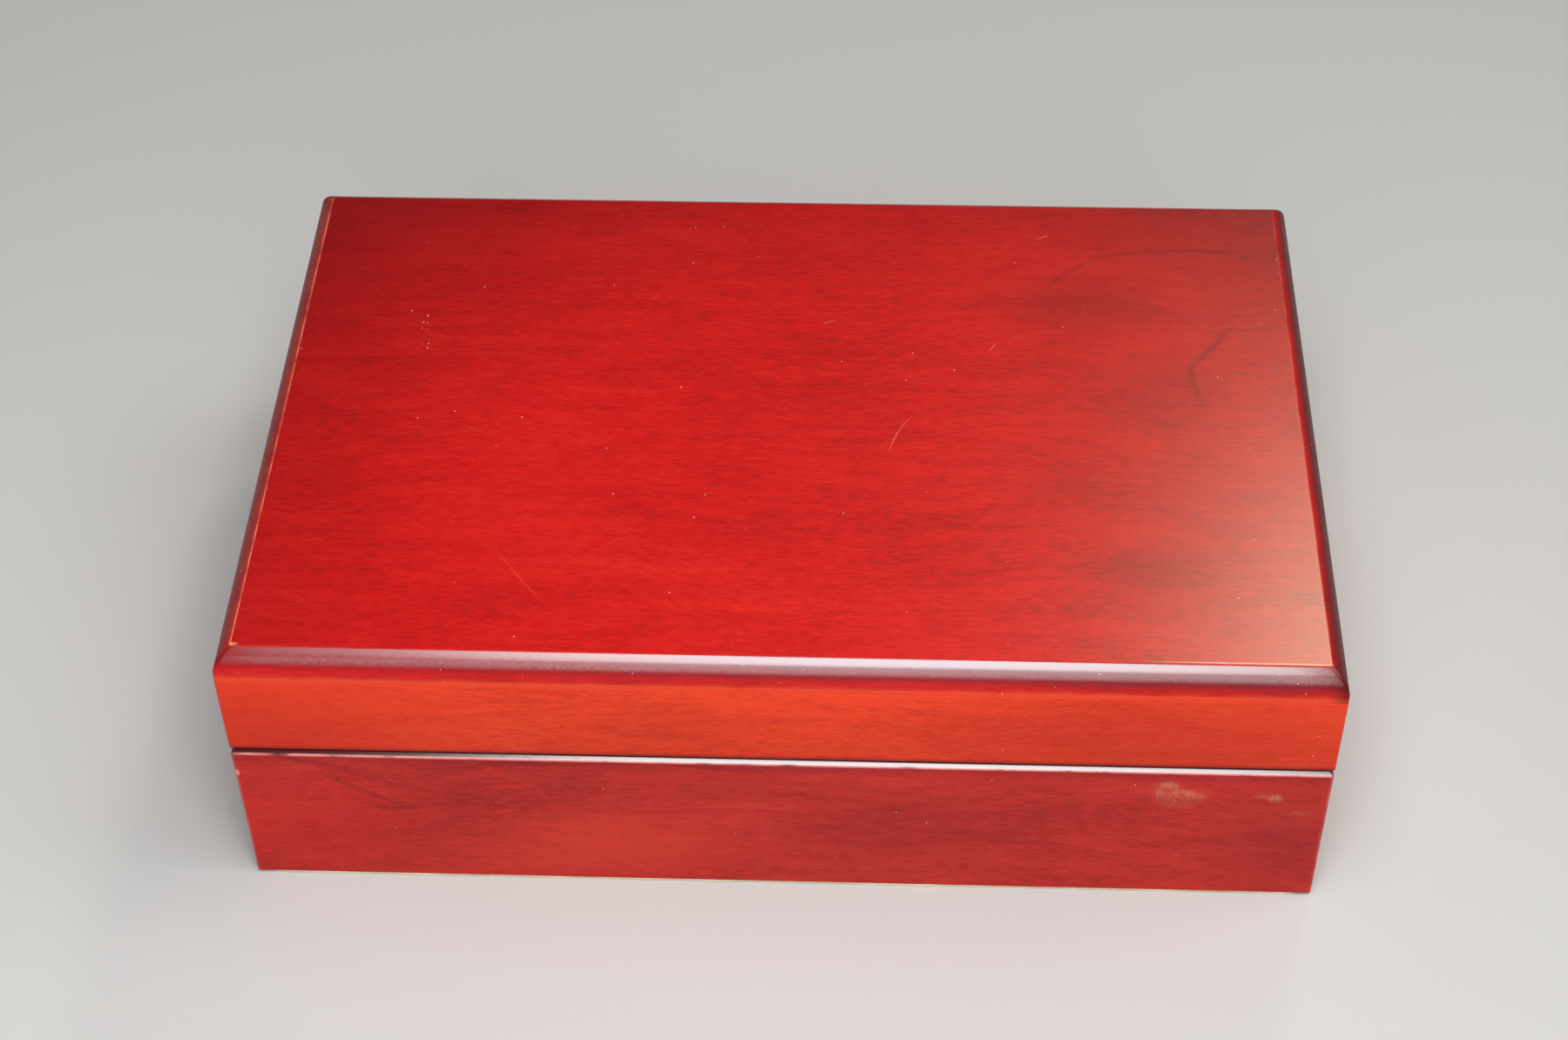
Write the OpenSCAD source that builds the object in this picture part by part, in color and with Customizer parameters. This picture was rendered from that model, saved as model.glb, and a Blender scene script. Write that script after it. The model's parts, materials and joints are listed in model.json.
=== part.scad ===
// Desktop humidor: a cherry-finished box with a cedar lining and a hinged lid.
// A humidifier and a hygrometer hang under the lid, and a divider slides in the base.
// Millimetres. The origin is the centre of the underside, X to the right, Y to the back, Z up.

/* [Case] */
// Outer width of the box, left to right
box_w = 260; // [220:1:400]
// Outer depth of the box, front to back
box_d = 170; // [140:1:300]
// Height of the base walls, from the felt to the rim
base_h = 46; // [38:0.5:120]
// Height of the lid rails, from the seam to the top panel
rail_h = 24.8; // [22:0.2:60]
// Thickness of the base walls and of the lid rails
wall_t = 9; // [8:0.5:16]
// Open gap between the base and the closed lid
seam_gap = 0.4; // [0.2:0.1:1]
// Width of the chamfers on both sides of the seam
seam_chamfer = 1; // [0.4:0.1:1.6]

/* [Lid top] */
// Thickness of the top panel
top_t = 8; // [8:0.5:14]
// Main radius of the moulding round the top panel
round_r = 7; // [4:0.5:7.5]
// Small radius that joins the moulding to the flat top
brow_r = 3; // [1:0.5:3.5]
// Angle that the small radius turns through
brow_angle = 26; // [15:1:40]

/* [Bottom] */
// Thickness of the bottom panel
bottom_t = 5; // [3:0.5:9]
// How far the bottom panel reaches under the walls
rabbet_w = 4.5; // [2:0.5:6]
// Thickness of the felt under the base
felt_t = 0.8; // [0.4:0.1:3]
// How far the felt's edge lies in from the walls
felt_inset = 0.3; // [0:0.1:5]

/* [Cedar lining] */
// Thickness of the lining boards on the sides
liner_t = 4; // [3:0.5:8]
// Thickness of the lining sheet on the floor
floor_liner_t = 3; // [2:0.5:6]
// Thickness of the lining sheet under the lid's top
ceiling_liner_t = 3; // [2:0.5:6]
// Height of the lip, where the base lining stands above the rim
lip_h = 7; // [4:0.5:9]
// Chamfer on the lip's outer edge
lip_chamfer = 1; // [0.5:0.1:2]
// Room between the lip and the lid rails
lip_clearance = 0.5; // [0.3:0.1:1]
// Room between the lip and the lid's lining
lip_gap = 0.2; // [0.1:0.1:2]

/* [Hinges] */
// Width of each hinge
hinge_w = 30; // [24:1:45]
// Distance between the middles of the two hinges
hinge_spacing = 150; // [90:1:170]
// Thickness of a leaf
leaf_t = 1.2; // [1:0.1:1.8]
// How far a leaf reaches in from the back face
leaf_depth = 7; // [6:0.5:7.5]
// Gap between the two closed leaves
leaf_gap = 0.2; // [0.1:0.05:0.4]
// Outer radius of the knuckles
knuckle_r = 2; // [1.8:0.1:3]
// Room round a knuckle and between knuckles
knuckle_gap = 0.2; // [0.15:0.05:0.4]
// Room between the knuckles and the back face
stand_off = 0.2; // [0.1:0.05:1]
// Radius of the hinge pin
pin_r = 1; // [0.6:0.1:1.2]
// Room round the hinge pin
pin_clearance = 0.05; // [0.02:0.01:0.1]
// Angle at which the lid stops
stop_angle = 100; // [90:1:120]
// Spare angle on each stop plate
stop_spare = 0.3; // [0.1:0.1:1]
// Reach of the stop plates from the pin's axis
stop_reach = 4.5; // [3.5:0.1:6]
// Room round a leaf in its mortise
mortise_clearance = 0.1; // [0.05:0.05:0.5]

/* [Hinge screws] */
// Distance between the two screws of a leaf
screw_spacing = 18; // [14:1:24]
// Radius of a screw's shank
screw_r = 1.25; // [0.8:0.05:1.5]
// Radius of a screw's head
screw_head_r = 2.2; // [1.8:0.1:2.6]
// Height of a screw's countersunk head
screw_head_h = 0.9; // [0.6:0.1:1]
// Length of a screw under its head
screw_l = 10; // [6:0.5:16]
// Width of the slot in a screw's head
screw_slot_w = 0.6; // [0.4:0.1:1]
// Depth of the slot in a screw's head
screw_slot_depth = 0.45; // [0.2:0.05:0.5]
// Room round a screw
screw_clearance = 0.05; // [0.02:0.01:0.2]

/* [Accessories] */
// Gap between the humidifier and the hygrometer
accessory_gap = 14; // [6:1:30]

/* [Humidifier] */
// Length of the humidifier
humidifier_l = 120; // [80:1:130]
// Width of the humidifier
humidifier_w = 36; // [26:1:50]
// Height of the humidifier
humidifier_h = 14; // [11:0.5:16]
// Thickness of the case's sides
humidifier_wall = 1.6; // [1:0.1:2.5]
// Thickness of the case's back
humidifier_back_t = 4; // [3.6:0.1:5]
// Radius of the case's upright corners
humidifier_corner_r = 4; // [2.6:0.2:8]
// Room between the seated case and the lid lining
seat_gap = 0.1; // [0.05:0.05:0.3]
// Length of the steel keeper plate
keeper_l = 92; // [60:1:110]
// Width of the steel keeper plate
keeper_w = 16; // [10:1:20]
// Thickness of the steel keeper plate
keeper_t = 0.8; // [0.5:0.1:1.2]
// Room round the keeper plate in the case's back
keeper_clearance = 0.3; // [0.1:0.1:1]
// Radius of a magnet
magnet_r = 5; // [3:0.5:7]
// Thickness of a magnet
magnet_t = 2; // [1:0.1:2.2]
// Distance between the two magnets
magnet_spacing = 66; // [40:1:80]
// Thickness of the slotted grille
grille_t = 1.6; // [1:0.1:2.5]
// Room round the grille and the foam in the case
grille_clearance = 0.1; // [0.05:0.05:0.3]
// Number of slots along the grille
slot_count = 13; // [5:1:16]
// Distance between two slots
slot_pitch = 8; // [6:0.5:9]
// Width of a slot
slot_w = 2.6; // [1.6:0.2:4]
// Length of a slot
slot_l = 11; // [6:0.5:13]
// Distance between the two rows of slots
slot_row_pitch = 14.5; // [14:0.5:18]

/* [Hygrometer] */
// Outer radius of the hygrometer's case
gauge_r = 18.5; // [16:0.5:24]
// How far the case reaches into the lid from the lining's face
gauge_depth = 8; // [7.6:0.2:9]
// Thickness of the case's back and of its wall at the mouth
gauge_wall = 0.8; // [0.6:0.1:1.2]
// Width of the shoulder that carries the dial
gauge_shoulder = 1; // [0.6:0.1:2]
// Room round the case in the lid
gauge_clearance = 0.15; // [0.05:0.05:0.5]
// How far the bezel reaches past the case
bezel_flange = 3.5; // [2:0.5:6]
// Height of the bezel under the lining
bezel_h = 4; // [3.6:0.2:6]
// Radius of the bezel's outer edge rounding
bezel_round_r = 1.6; // [0.8:0.2:2.4]
// Width of the bezel's lip in front of the lens
bezel_lip_w = 1.6; // [1:0.2:3]
// Thickness of the bezel's lip
bezel_lip_t = 0.8; // [0.5:0.1:1]
// Thickness of the lens
lens_t = 1; // [0.6:0.1:1.2]
// Room round the lens
lens_clearance = 0.1; // [0.05:0.05:0.2]
// Thickness of the dial
dial_t = 0.5; // [0.3:0.1:0.8]
// How far the dial's back lies into the lid from the lining's face
dial_depth = 1; // [0.8:0.1:1.4]
// Radius of the hygrometer's arbor
arbor_r = 0.6; // [0.4:0.1:0.9]
// Room round the arbor in its bearing
arbor_clearance = 0.05; // [0.02:0.01:0.1]
// Radius of the bearing boss and of the collet on the arbor
boss_r = 1.6; // [1.2:0.1:2]
// Height of the bearing boss
boss_h = 1.6; // [1:0.1:2]
// Room round the arbor where it passes the dial
dial_hole_clearance = 0.3; // [0.2:0.1:0.6]
// Length of the pointer from the arbor to its tip
pointer_l = 13; // [9:0.5:14]
// Length of the pointer's tail
pointer_tail_l = 5; // [3:0.5:8]
// Width of the pointer at the arbor
pointer_w = 1.8; // [1:0.1:3]
// Width of the pointer at its tip
pointer_tip_w = 0.5; // [0.3:0.1:1]
// Thickness of the pointer
pointer_t = 0.4; // [0.3:0.1:0.6]
// Height of the pointer in front of the dial
pointer_lift = 1; // [0.6:0.1:1.2]
// Angle of the pointer at rest, from the right-hand side
pointer_rest = -40; // [-90:5:90]
// Number of turns in the sensing coil
coil_turns = 5; // [3:1:6]
// Gap between the collet and the coil's first turn
coil_start_gap = 0.2; // [0.1:0.1:0.6]
// Distance between the coil's turns
coil_pitch = 1.8; // [1.4:0.1:2]
// Thickness of the coil's strip
coil_t = 0.3; // [0.2:0.05:0.5]
// Width of the coil's strip
coil_w = 2; // [1:0.2:2.4]

/* [Divider] */
// Thickness of the divider
divider_t = 5; // [4:0.5:8]
// Height of the divider
divider_h = 33; // [28:0.5:34]
// Place of the divider along the box
divider_x = 37; // [-80:1:80]
// Room round the divider
divider_clearance = 0.2; // [0.1:0.1:0.6]
// Radius of the finger notch in the divider's top
notch_r = 12; // [9:0.5:16]
// Number of vent slots in the divider
vent_count = 7; // [3:1:9]
// Distance between two vent slots
vent_pitch = 16; // [12:1:17]
// Width of a vent slot
vent_w = 4; // [2:0.5:6]
// Height of a vent slot
vent_h = 13; // [8:0.5:14]
// Height of the vent slots above the divider's lower edge
vent_lift = 5; // [4:0.5:6]

/* [Hidden] */
$fn = 64;

// Colours
cherry = "#B4231E";
cherry_light = "#D6452B";
cedar = "#C08A5A";
raw_board = "#B89468";
felt_beige = "#CFC2A4";
brass = "#C9A24A";
steel = "#9A9DA1";
black_plastic = "#1E1E20";
foam_green = "#5F7F52";
dial_white = "#F2EFE6";
copper = "#B0703A";
clear_lens = "#DDE8EC";

// The four sides, counted in quarter turns from the front
FRONT = 0;
RIGHT = 1;
BACK = 2;
LEFT = 3;

// Overlap that keeps a cut's faces clear of the faces that it opens
cut = 1;

// Levels, from the floor up
bottom_top_z = felt_t + bottom_t;
floor_z = bottom_top_z + floor_liner_t;
rim_z = felt_t + base_h;
lip_z = rim_z + lip_h;
lid_z = rim_z + seam_gap;
lid_liner_z = lip_z + lip_gap;
rail_top_z = lid_z + rail_h;
ceiling_z = rail_top_z - ceiling_liner_t;
top_z = rail_top_z + top_t;

// Width of the moulded strip round the flat of the top panel
moulding_w = 2 * round_r;

// Inside of the walls, and inside of the lining
inner_w = box_w - 2 * wall_t;
inner_d = box_d - 2 * wall_t;
room_w = inner_w - 2 * liner_t;
room_d = inner_d - 2 * liner_t;

// Hinge axis, knuckle lengths and stop angle
axis_y = box_d / 2 + stand_off + knuckle_r;
axis_z = rim_z + seam_gap / 2;
leaf_reach = axis_y - box_d / 2 + leaf_depth;
mid_knuckle = hinge_w / 6 - knuckle_gap / 2;
end_knuckle = hinge_w / 6 + knuckle_gap / 2;
half_stop = stop_angle / 2 + stop_spare;
screw_y = -leaf_reach + leaf_depth / 2;

// The humidifier and the hygrometer share the middle of the lid
bezel_r = gauge_r + bezel_flange;
accessory_l = humidifier_l + accessory_gap + 2 * bezel_r;
humidifier_x = (humidifier_l - accessory_l) / 2;
gauge_x = accessory_l / 2 - bezel_r;

// Levels in the humidifier
humidifier_top_z = ceiling_z - seat_gap;
humidifier_z = humidifier_top_z - humidifier_h;
keeper_floor_z = ceiling_z - keeper_t - keeper_clearance;
foam_top_z = humidifier_top_z - humidifier_back_t;
foam_z = humidifier_z + grille_t;

// Levels and radii in the hygrometer
gauge_top_z = ceiling_z + gauge_depth;
gauge_back_z = gauge_top_z - gauge_wall;
dial_back_z = ceiling_z + dial_depth;
dial_z = dial_back_z - dial_t;
bezel_z = ceiling_z - bezel_h;
lens_z = bezel_z + bezel_lip_t;
gauge_mouth_z = lens_z + lens_t;
pointer_z = dial_z - pointer_lift - pointer_t;
gauge_mouth_r = gauge_r - gauge_wall;
gauge_back_r = gauge_mouth_r - gauge_shoulder;
lens_r = gauge_r - lens_clearance;
window_r = gauge_r - bezel_lip_w;
boss_z = gauge_back_z - boss_h;
coil_z = dial_back_z + (boss_z - dial_back_z - coil_w) / 2;
coil_start_r = boss_r + coil_start_gap + coil_t / 2;
coil_end_r = coil_start_r + coil_turns * coil_pitch;

// Length along a side, and the distance from the middle to that side
function along(side, w, d) = side % 2 == 0 ? w : d;
function reach(side, w, d) = (side % 2 == 0 ? d : w) / 2;

// Places a board that is made for the front on one of the four sides of a w by d frame
module on_side(side, w, d) {
    rotate([0, 0, 90 * side]) translate([0, -reach(side, w, d), 0]) children();
}

// One of four boards round a w by d frame, with mitred ends.
// Its section is the child, drawn as depth from the outer face by height.
module mitred_board(side, w, d, depth) {
    length = along(side, w, d);
    on_side(side, w, d)
        intersection() {
            rotate([90, 0, 90]) linear_extrude(height = length, center = true) children();
            linear_extrude(height = top_z + cut)
                polygon([
                    [-length / 2, 0], [length / 2, 0],
                    [length / 2 - depth, depth], [-length / 2 + depth, depth]
                ]);
        }
}

// A sheet that is centred on the box
module sheet(w, d, z, t) {
    translate([-w / 2, -d / 2, z]) cube([w, d, t]);
}

// A cylinder along X, from x0 to x1
module barrel(r, x0, x1) {
    translate([x0, 0, 0]) rotate([0, 90, 0]) cylinder(r = r, h = x1 - x0);
}

// A slot with round ends along Y, cut through everything from z0 to z1
module round_slot(width, length, z0, z1) {
    straight = length - width;
    translate([-width / 2, -straight / 2, z0]) cube([width, straight, z1 - z0]);
    for (end = [-1, 1])
        translate([0, end * straight / 2, z0]) cylinder(d = width, h = z1 - z0);
}

// A block with round upright corners, centred in plan
module round_block(length, width, r, z, h) {
    translate([-length / 2 + r, -width / 2, z]) cube([length - 2 * r, width, h]);
    translate([-length / 2, -width / 2 + r, z]) cube([length, width - 2 * r, h]);
    for (sx = [-1, 1], sy = [-1, 1])
        translate([sx * (length / 2 - r), sy * (width / 2 - r), z]) cylinder(r = r, h = h);
}

// Base walls and bottom

base_wall_profile = [
    [0, felt_t], [wall_t - rabbet_w, felt_t],
    [wall_t - rabbet_w, bottom_top_z], [wall_t, bottom_top_z],
    [wall_t, rim_z], [seam_chamfer, rim_z], [0, rim_z - seam_chamfer]
];

module base_wall(side) {
    color(cherry) mitred_board(side, box_w, box_d, wall_t) polygon(base_wall_profile);
}

module base_front_wall() { base_wall(FRONT); }

module base_left_wall() { base_wall(LEFT); }

module base_right_wall() { base_wall(RIGHT); }

module base_back_wall() {
    color(cherry)
        difference() {
            base_wall(BACK);
            at_hinges() base_hinge_seat();
        }
}

module base_bottom_panel() {
    color(raw_board) sheet(inner_w + 2 * rabbet_w, inner_d + 2 * rabbet_w, felt_t, bottom_t);
}

module base_felt() {
    color(felt_beige) sheet(box_w - 2 * felt_inset, box_d - 2 * felt_inset, 0, felt_t);
}

// Cedar lining of the base, with the lip that the lid closes over

base_liner_profile = [
    [0, floor_z], [liner_t, floor_z], [liner_t, lip_z],
    [lip_clearance + lip_chamfer, lip_z], [lip_clearance, lip_z - lip_chamfer],
    [lip_clearance, rim_z], [0, rim_z]
];

module base_liner(side) {
    color(cedar) mitred_board(side, inner_w, inner_d, liner_t) polygon(base_liner_profile);
}

module base_liner_front() { base_liner(FRONT); }

module base_liner_back() { base_liner(BACK); }

module base_liner_left() { base_liner(LEFT); }

module base_liner_right() { base_liner(RIGHT); }

module base_liner_floor() {
    color(cedar) sheet(inner_w, inner_d, bottom_top_z, floor_liner_t);
}

// Lid rails and top panel

rail_profile = [
    [seam_chamfer, lid_z], [wall_t, lid_z], [wall_t, rail_top_z],
    [0, rail_top_z], [0, lid_z + seam_chamfer]
];

module rail(side) {
    color(cherry_light) mitred_board(side, box_w, box_d, wall_t) polygon(rail_profile);
}

module lid_front_rail() { rail(FRONT); }

module lid_left_rail() { rail(LEFT); }

module lid_right_rail() { rail(RIGHT); }

module lid_back_rail() {
    color(cherry_light)
        difference() {
            rail(BACK);
            at_hinges() mirror([0, 0, 1]) base_hinge_seat();
        }
}

// The moulded edge cut across: the flat top turns down through the small radius and then the main one
module moulding_section() {
    brow_y = round_r - (round_r - brow_r) * sin(brow_angle);
    brow_z = top_z - brow_r;
    break_z = brow_z - (round_r - brow_r) * cos(brow_angle);
    ray_z = top_z + cut;
    ray_y = round_r - (ray_z - break_z) * tan(brow_angle);
    translate([0, rail_top_z]) square([moulding_w, break_z - rail_top_z]);
    translate([brow_y, rail_top_z]) square([moulding_w - brow_y, top_t]);
    intersection() {
        translate([round_r, break_z]) circle(r = round_r);
        polygon([[round_r, break_z], [ray_y, ray_z], [-cut, ray_z], [-cut, break_z]]);
    }
    intersection() {
        translate([brow_y, brow_z]) circle(r = brow_r);
        polygon([[brow_y, brow_z], [brow_y, ray_z], [ray_y, ray_z]]);
    }
}

module lid_top_panel() {
    color(cherry)
        difference() {
            union() {
                for (side = [FRONT, RIGHT, BACK, LEFT])
                    mitred_board(side, box_w, box_d, moulding_w) moulding_section();
                sheet(box_w - 2 * moulding_w, box_d - 2 * moulding_w, rail_top_z, top_t);
            }
            gauge_hole();
        }
}

// Cedar lining of the lid

lid_liner_profile = [
    [0, lid_liner_z], [liner_t, lid_liner_z], [liner_t, ceiling_z], [0, ceiling_z]
];

module lid_liner(side) {
    color(cedar) mitred_board(side, inner_w, inner_d, liner_t) polygon(lid_liner_profile);
}

module lid_liner_front() { lid_liner(FRONT); }

module lid_liner_back() { lid_liner(BACK); }

module lid_liner_left() { lid_liner(LEFT); }

module lid_liner_right() { lid_liner(RIGHT); }

module lid_liner_ceiling() {
    color(cedar)
        difference() {
            sheet(inner_w, inner_d, ceiling_z, ceiling_liner_t);
            gauge_hole();
        }
}

// Hinges, drawn about the pin's axis with the base below and the lid above

module at_hinge(end) {
    translate([end * hinge_spacing / 2, axis_y, axis_z]) children();
}

module at_hinges() {
    for (end = [-1, 1]) at_hinge(end) children();
}

// The two screws of a leaf, with their heads flush with the leaf's face
module at_screws() {
    for (end = [-1, 1]) translate([end * screw_spacing / 2, screw_y, -leaf_gap / 2]) children();
}

module screw_form(room) {
    translate([0, 0, -screw_head_h])
        cylinder(r1 = screw_r + room, r2 = screw_head_r + room, h = screw_head_h);
    translate([0, 0, -screw_head_h - screw_l - room])
        cylinder(r = screw_r + room, h = screw_l + room + screw_head_h / 2);
}

module screw() {
    difference() {
        screw_form(0);
        translate([-screw_head_r, -screw_slot_w / 2, -screw_slot_depth])
            cube([2 * screw_head_r, screw_slot_w, screw_slot_depth + cut]);
    }
}

// What is cut out of the base wall for one leaf and its screws
module base_hinge_seat() {
    translate([
        -hinge_w / 2 - mortise_clearance,
        -leaf_reach - mortise_clearance,
        -leaf_gap / 2 - leaf_t
    ])
        cube([hinge_w + 2 * mortise_clearance, leaf_reach + knuckle_r + cut, leaf_t + leaf_gap + cut]);
    at_screws() screw_form(screw_clearance);
}

// A leaf cut across the pin: its plate, its stop plate behind the pin and its knuckle.
// Where it has no knuckle, it leaves room for the other leaf's.
module leaf_section(knuckle, stop) {
    difference() {
        union() {
            translate([-leaf_reach, -leaf_gap / 2 - leaf_t]) square([leaf_reach, leaf_t]);
            if (stop) rotate(-half_stop) translate([0, -leaf_t]) square([stop_reach, leaf_t]);
            if (knuckle) circle(r = knuckle_r);
        }
        circle(r = knuckle ? pin_r + pin_clearance : knuckle_r + knuckle_gap);
    }
}

// A stretch of a leaf along the pin, from x0 to x1
module leaf_length(x0, x1) {
    translate([x0, 0, 0]) rotate([90, 0, 90]) linear_extrude(height = x1 - x0) children();
}

module leaf_screw_holes() {
    at_screws() {
        screw_form(screw_clearance);
        cylinder(r = screw_head_r + screw_clearance, h = cut);
    }
}

// The base leaf has the two end knuckles, each with its stop plate
module base_leaf(end) {
    color(brass)
        at_hinge(end)
            difference() {
                union() {
                    leaf_length(-end_knuckle, end_knuckle) leaf_section(false, false);
                    for (turn = [0, 1])
                        mirror([turn, 0, 0]) leaf_length(end_knuckle, hinge_w / 2) leaf_section(true, true);
                }
                leaf_screw_holes();
            }
}

// The lid leaf has the middle knuckle, and its stop plate spans the whole hinge
module lid_leaf(end) {
    color(brass)
        at_hinge(end)
            mirror([0, 0, 1])
                difference() {
                    union() {
                        leaf_length(-mid_knuckle, mid_knuckle) leaf_section(true, true);
                        for (turn = [0, 1])
                            mirror([turn, 0, 0]) leaf_length(mid_knuckle, hinge_w / 2) leaf_section(false, true);
                    }
                    leaf_screw_holes();
                }
}

module pin(end) {
    color(steel) at_hinge(end) barrel(pin_r, -hinge_w / 2, hinge_w / 2);
}

module hinge_base_leaf_left() { base_leaf(-1); }

module hinge_base_leaf_right() { base_leaf(1); }

module hinge_lid_leaf_left() { lid_leaf(-1); }

module hinge_lid_leaf_right() { lid_leaf(1); }

module hinge_pin_left() { pin(-1); }

module hinge_pin_right() { pin(1); }

module hinge_base_screws() {
    color(brass) at_hinges() at_screws() screw();
}

module hinge_lid_screws() {
    color(brass) at_hinges() mirror([0, 0, 1]) at_screws() screw();
}

// Humidifier, held to a steel keeper plate by two magnets

module at_humidifier() {
    translate([humidifier_x, 0, 0]) children();
}

module at_magnets() {
    for (end = [-1, 1]) translate([end * magnet_spacing / 2, 0, keeper_floor_z - magnet_t]) children();
}

module humidifier_keeper() {
    color(steel) at_humidifier() sheet(keeper_l, keeper_w, ceiling_z - keeper_t, keeper_t);
}

module humidifier_case() {
    mouth_r = humidifier_corner_r - humidifier_wall;
    color(black_plastic)
        at_humidifier()
            difference() {
                round_block(humidifier_l, humidifier_w, humidifier_corner_r, humidifier_z, humidifier_h);
                round_block(
                    humidifier_l - 2 * humidifier_wall, humidifier_w - 2 * humidifier_wall,
                    mouth_r, humidifier_z - cut, foam_top_z - humidifier_z + cut);
                sheet(
                    keeper_l + 2 * keeper_clearance, keeper_w + 2 * keeper_clearance,
                    keeper_floor_z, humidifier_h);
                at_magnets() cylinder(r = magnet_r, h = magnet_t + cut);
            }
}

// What fits into the case's mouth: the foam and the grille
module humidifier_filling(z, h) {
    inset = humidifier_wall + grille_clearance;
    round_block(
        humidifier_l - 2 * inset, humidifier_w - 2 * inset, humidifier_corner_r - inset, z, h);
}

module humidifier_foam() {
    color(foam_green) at_humidifier() humidifier_filling(foam_z, foam_top_z - foam_z);
}

module humidifier_grille() {
    color(black_plastic)
        at_humidifier()
            difference() {
                humidifier_filling(humidifier_z, grille_t);
                for (row = [-1, 1], i = [0 : slot_count - 1])
                    translate([(i - (slot_count - 1) / 2) * slot_pitch, row * slot_row_pitch / 2, 0])
                        round_slot(slot_w, slot_l, humidifier_z - cut, humidifier_z + grille_t + cut);
            }
}

module humidifier_magnets() {
    color(steel) at_humidifier() at_magnets() cylinder(r = magnet_r, h = magnet_t);
}

// Hygrometer, let into the lid, with its dial facing down

module at_gauge() {
    translate([gauge_x, 0, 0]) children();
}

// The hole in the lining and the blind recess in the top panel
module gauge_hole() {
    at_gauge()
        translate([0, 0, ceiling_z - cut])
            cylinder(r = gauge_r + gauge_clearance, h = gauge_depth + gauge_clearance + cut);
}

module hygrometer_case() {
    color(brass)
        at_gauge() {
            difference() {
                translate([0, 0, gauge_mouth_z]) cylinder(r = gauge_r, h = gauge_top_z - gauge_mouth_z);
                translate([0, 0, gauge_mouth_z - cut])
                    cylinder(r = gauge_mouth_r, h = dial_back_z - gauge_mouth_z + cut);
                translate([0, 0, dial_back_z - cut])
                    cylinder(r = gauge_back_r, h = gauge_back_z - dial_back_z + cut);
            }
            difference() {
                translate([0, 0, boss_z]) cylinder(r = boss_r, h = boss_h + gauge_wall / 2);
                translate([0, 0, boss_z - cut])
                    cylinder(r = arbor_r + arbor_clearance, h = boss_h + cut);
            }
            coil_post();
        }
}

// The post on the case's back that the coil's outer end is fixed to
module coil_post() {
    post_r = coil_pitch / 2;
    translate([coil_end_r + coil_t / 2 + post_r, 0, coil_z])
        cylinder(r = post_r, h = gauge_back_z - coil_z + gauge_wall / 2);
}

module hygrometer_dial() {
    color(dial_white)
        at_gauge()
            difference() {
                translate([0, 0, dial_z]) cylinder(r = gauge_mouth_r - gauge_clearance, h = dial_t);
                translate([0, 0, dial_z - cut])
                    cylinder(r = arbor_r + dial_hole_clearance, h = dial_t + 2 * cut);
            }
}

// One edge of the flat spiral strip, as a list of points
function spiral(offset, steps) = [
    for (i = [0 : steps])
        let (turn = i / steps * coil_turns)
        let (r = coil_start_r + turn * coil_pitch + offset)
        [r * cos(360 * turn), r * sin(360 * turn)]
];

module hygrometer_coil() {
    steps = 24 * coil_turns;
    inner_edge = spiral(-coil_t / 2, steps);
    outer_edge = spiral(coil_t / 2, steps);
    outline = concat(inner_edge, [for (i = [steps : -1 : 0]) outer_edge[i]]);
    color(copper)
        at_gauge() translate([0, 0, coil_z]) linear_extrude(height = coil_w) polygon(outline);
}

module hygrometer_lens() {
    color(clear_lens) at_gauge() translate([0, 0, lens_z]) cylinder(r = lens_r, h = lens_t);
}

module hygrometer_bezel() {
    color(brass)
        at_gauge()
            rotate_extrude()
                difference() {
                    union() {
                        translate([window_r, bezel_z])
                            square([bezel_r - bezel_round_r - window_r, bezel_h]);
                        translate([window_r, bezel_z + bezel_round_r])
                            square([bezel_r - window_r, bezel_h - bezel_round_r]);
                        intersection() {
                            translate([bezel_r - bezel_round_r, bezel_z + bezel_round_r])
                                circle(r = bezel_round_r);
                            translate([bezel_r - bezel_round_r, bezel_z])
                                square([bezel_round_r, bezel_round_r]);
                        }
                    }
                    translate([0, lens_z]) square([gauge_r + gauge_clearance, bezel_h]);
                }
}

module hygrometer_pointer() {
    color("black")
        at_gauge() {
            arbor_top_z = gauge_back_z - arbor_clearance;
            translate([0, 0, pointer_z]) cylinder(r = arbor_r, h = arbor_top_z - pointer_z);
            translate([0, 0, pointer_z]) cylinder(r = boss_r, h = pointer_t);
            translate([0, 0, coil_z]) cylinder(r = boss_r, h = coil_w);
            rotate([0, 0, pointer_rest])
                translate([0, 0, pointer_z])
                    linear_extrude(height = pointer_t)
                        polygon([
                            [-pointer_tail_l, -pointer_w / 2], [0, -pointer_w / 2],
                            [pointer_l, -pointer_tip_w / 2], [pointer_l, pointer_tip_w / 2],
                            [0, pointer_w / 2], [-pointer_tail_l, pointer_w / 2]
                        ]);
        }
}

// Divider, a cedar board that slides along the base

module divider() {
    divider_z = floor_z + divider_clearance;
    divider_w = room_d - 2 * divider_clearance;
    color(cedar)
        translate([divider_x - divider_t / 2, 0, divider_z])
            rotate([90, 0, 90])
                linear_extrude(height = divider_t)
                    difference() {
                        translate([-divider_w / 2, 0]) square([divider_w, divider_h]);
                        translate([0, divider_h]) circle(r = notch_r);
                        for (i = [0 : vent_count - 1])
                            translate([(i - (vent_count - 1) / 2) * vent_pitch, vent_lift]) vent();
                    }
}

module vent() {
    translate([-vent_w / 2, vent_w / 2]) square([vent_w, vent_h - vent_w]);
    for (z = [vent_w / 2, vent_h - vent_w / 2]) translate([0, z]) circle(d = vent_w);
}

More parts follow.
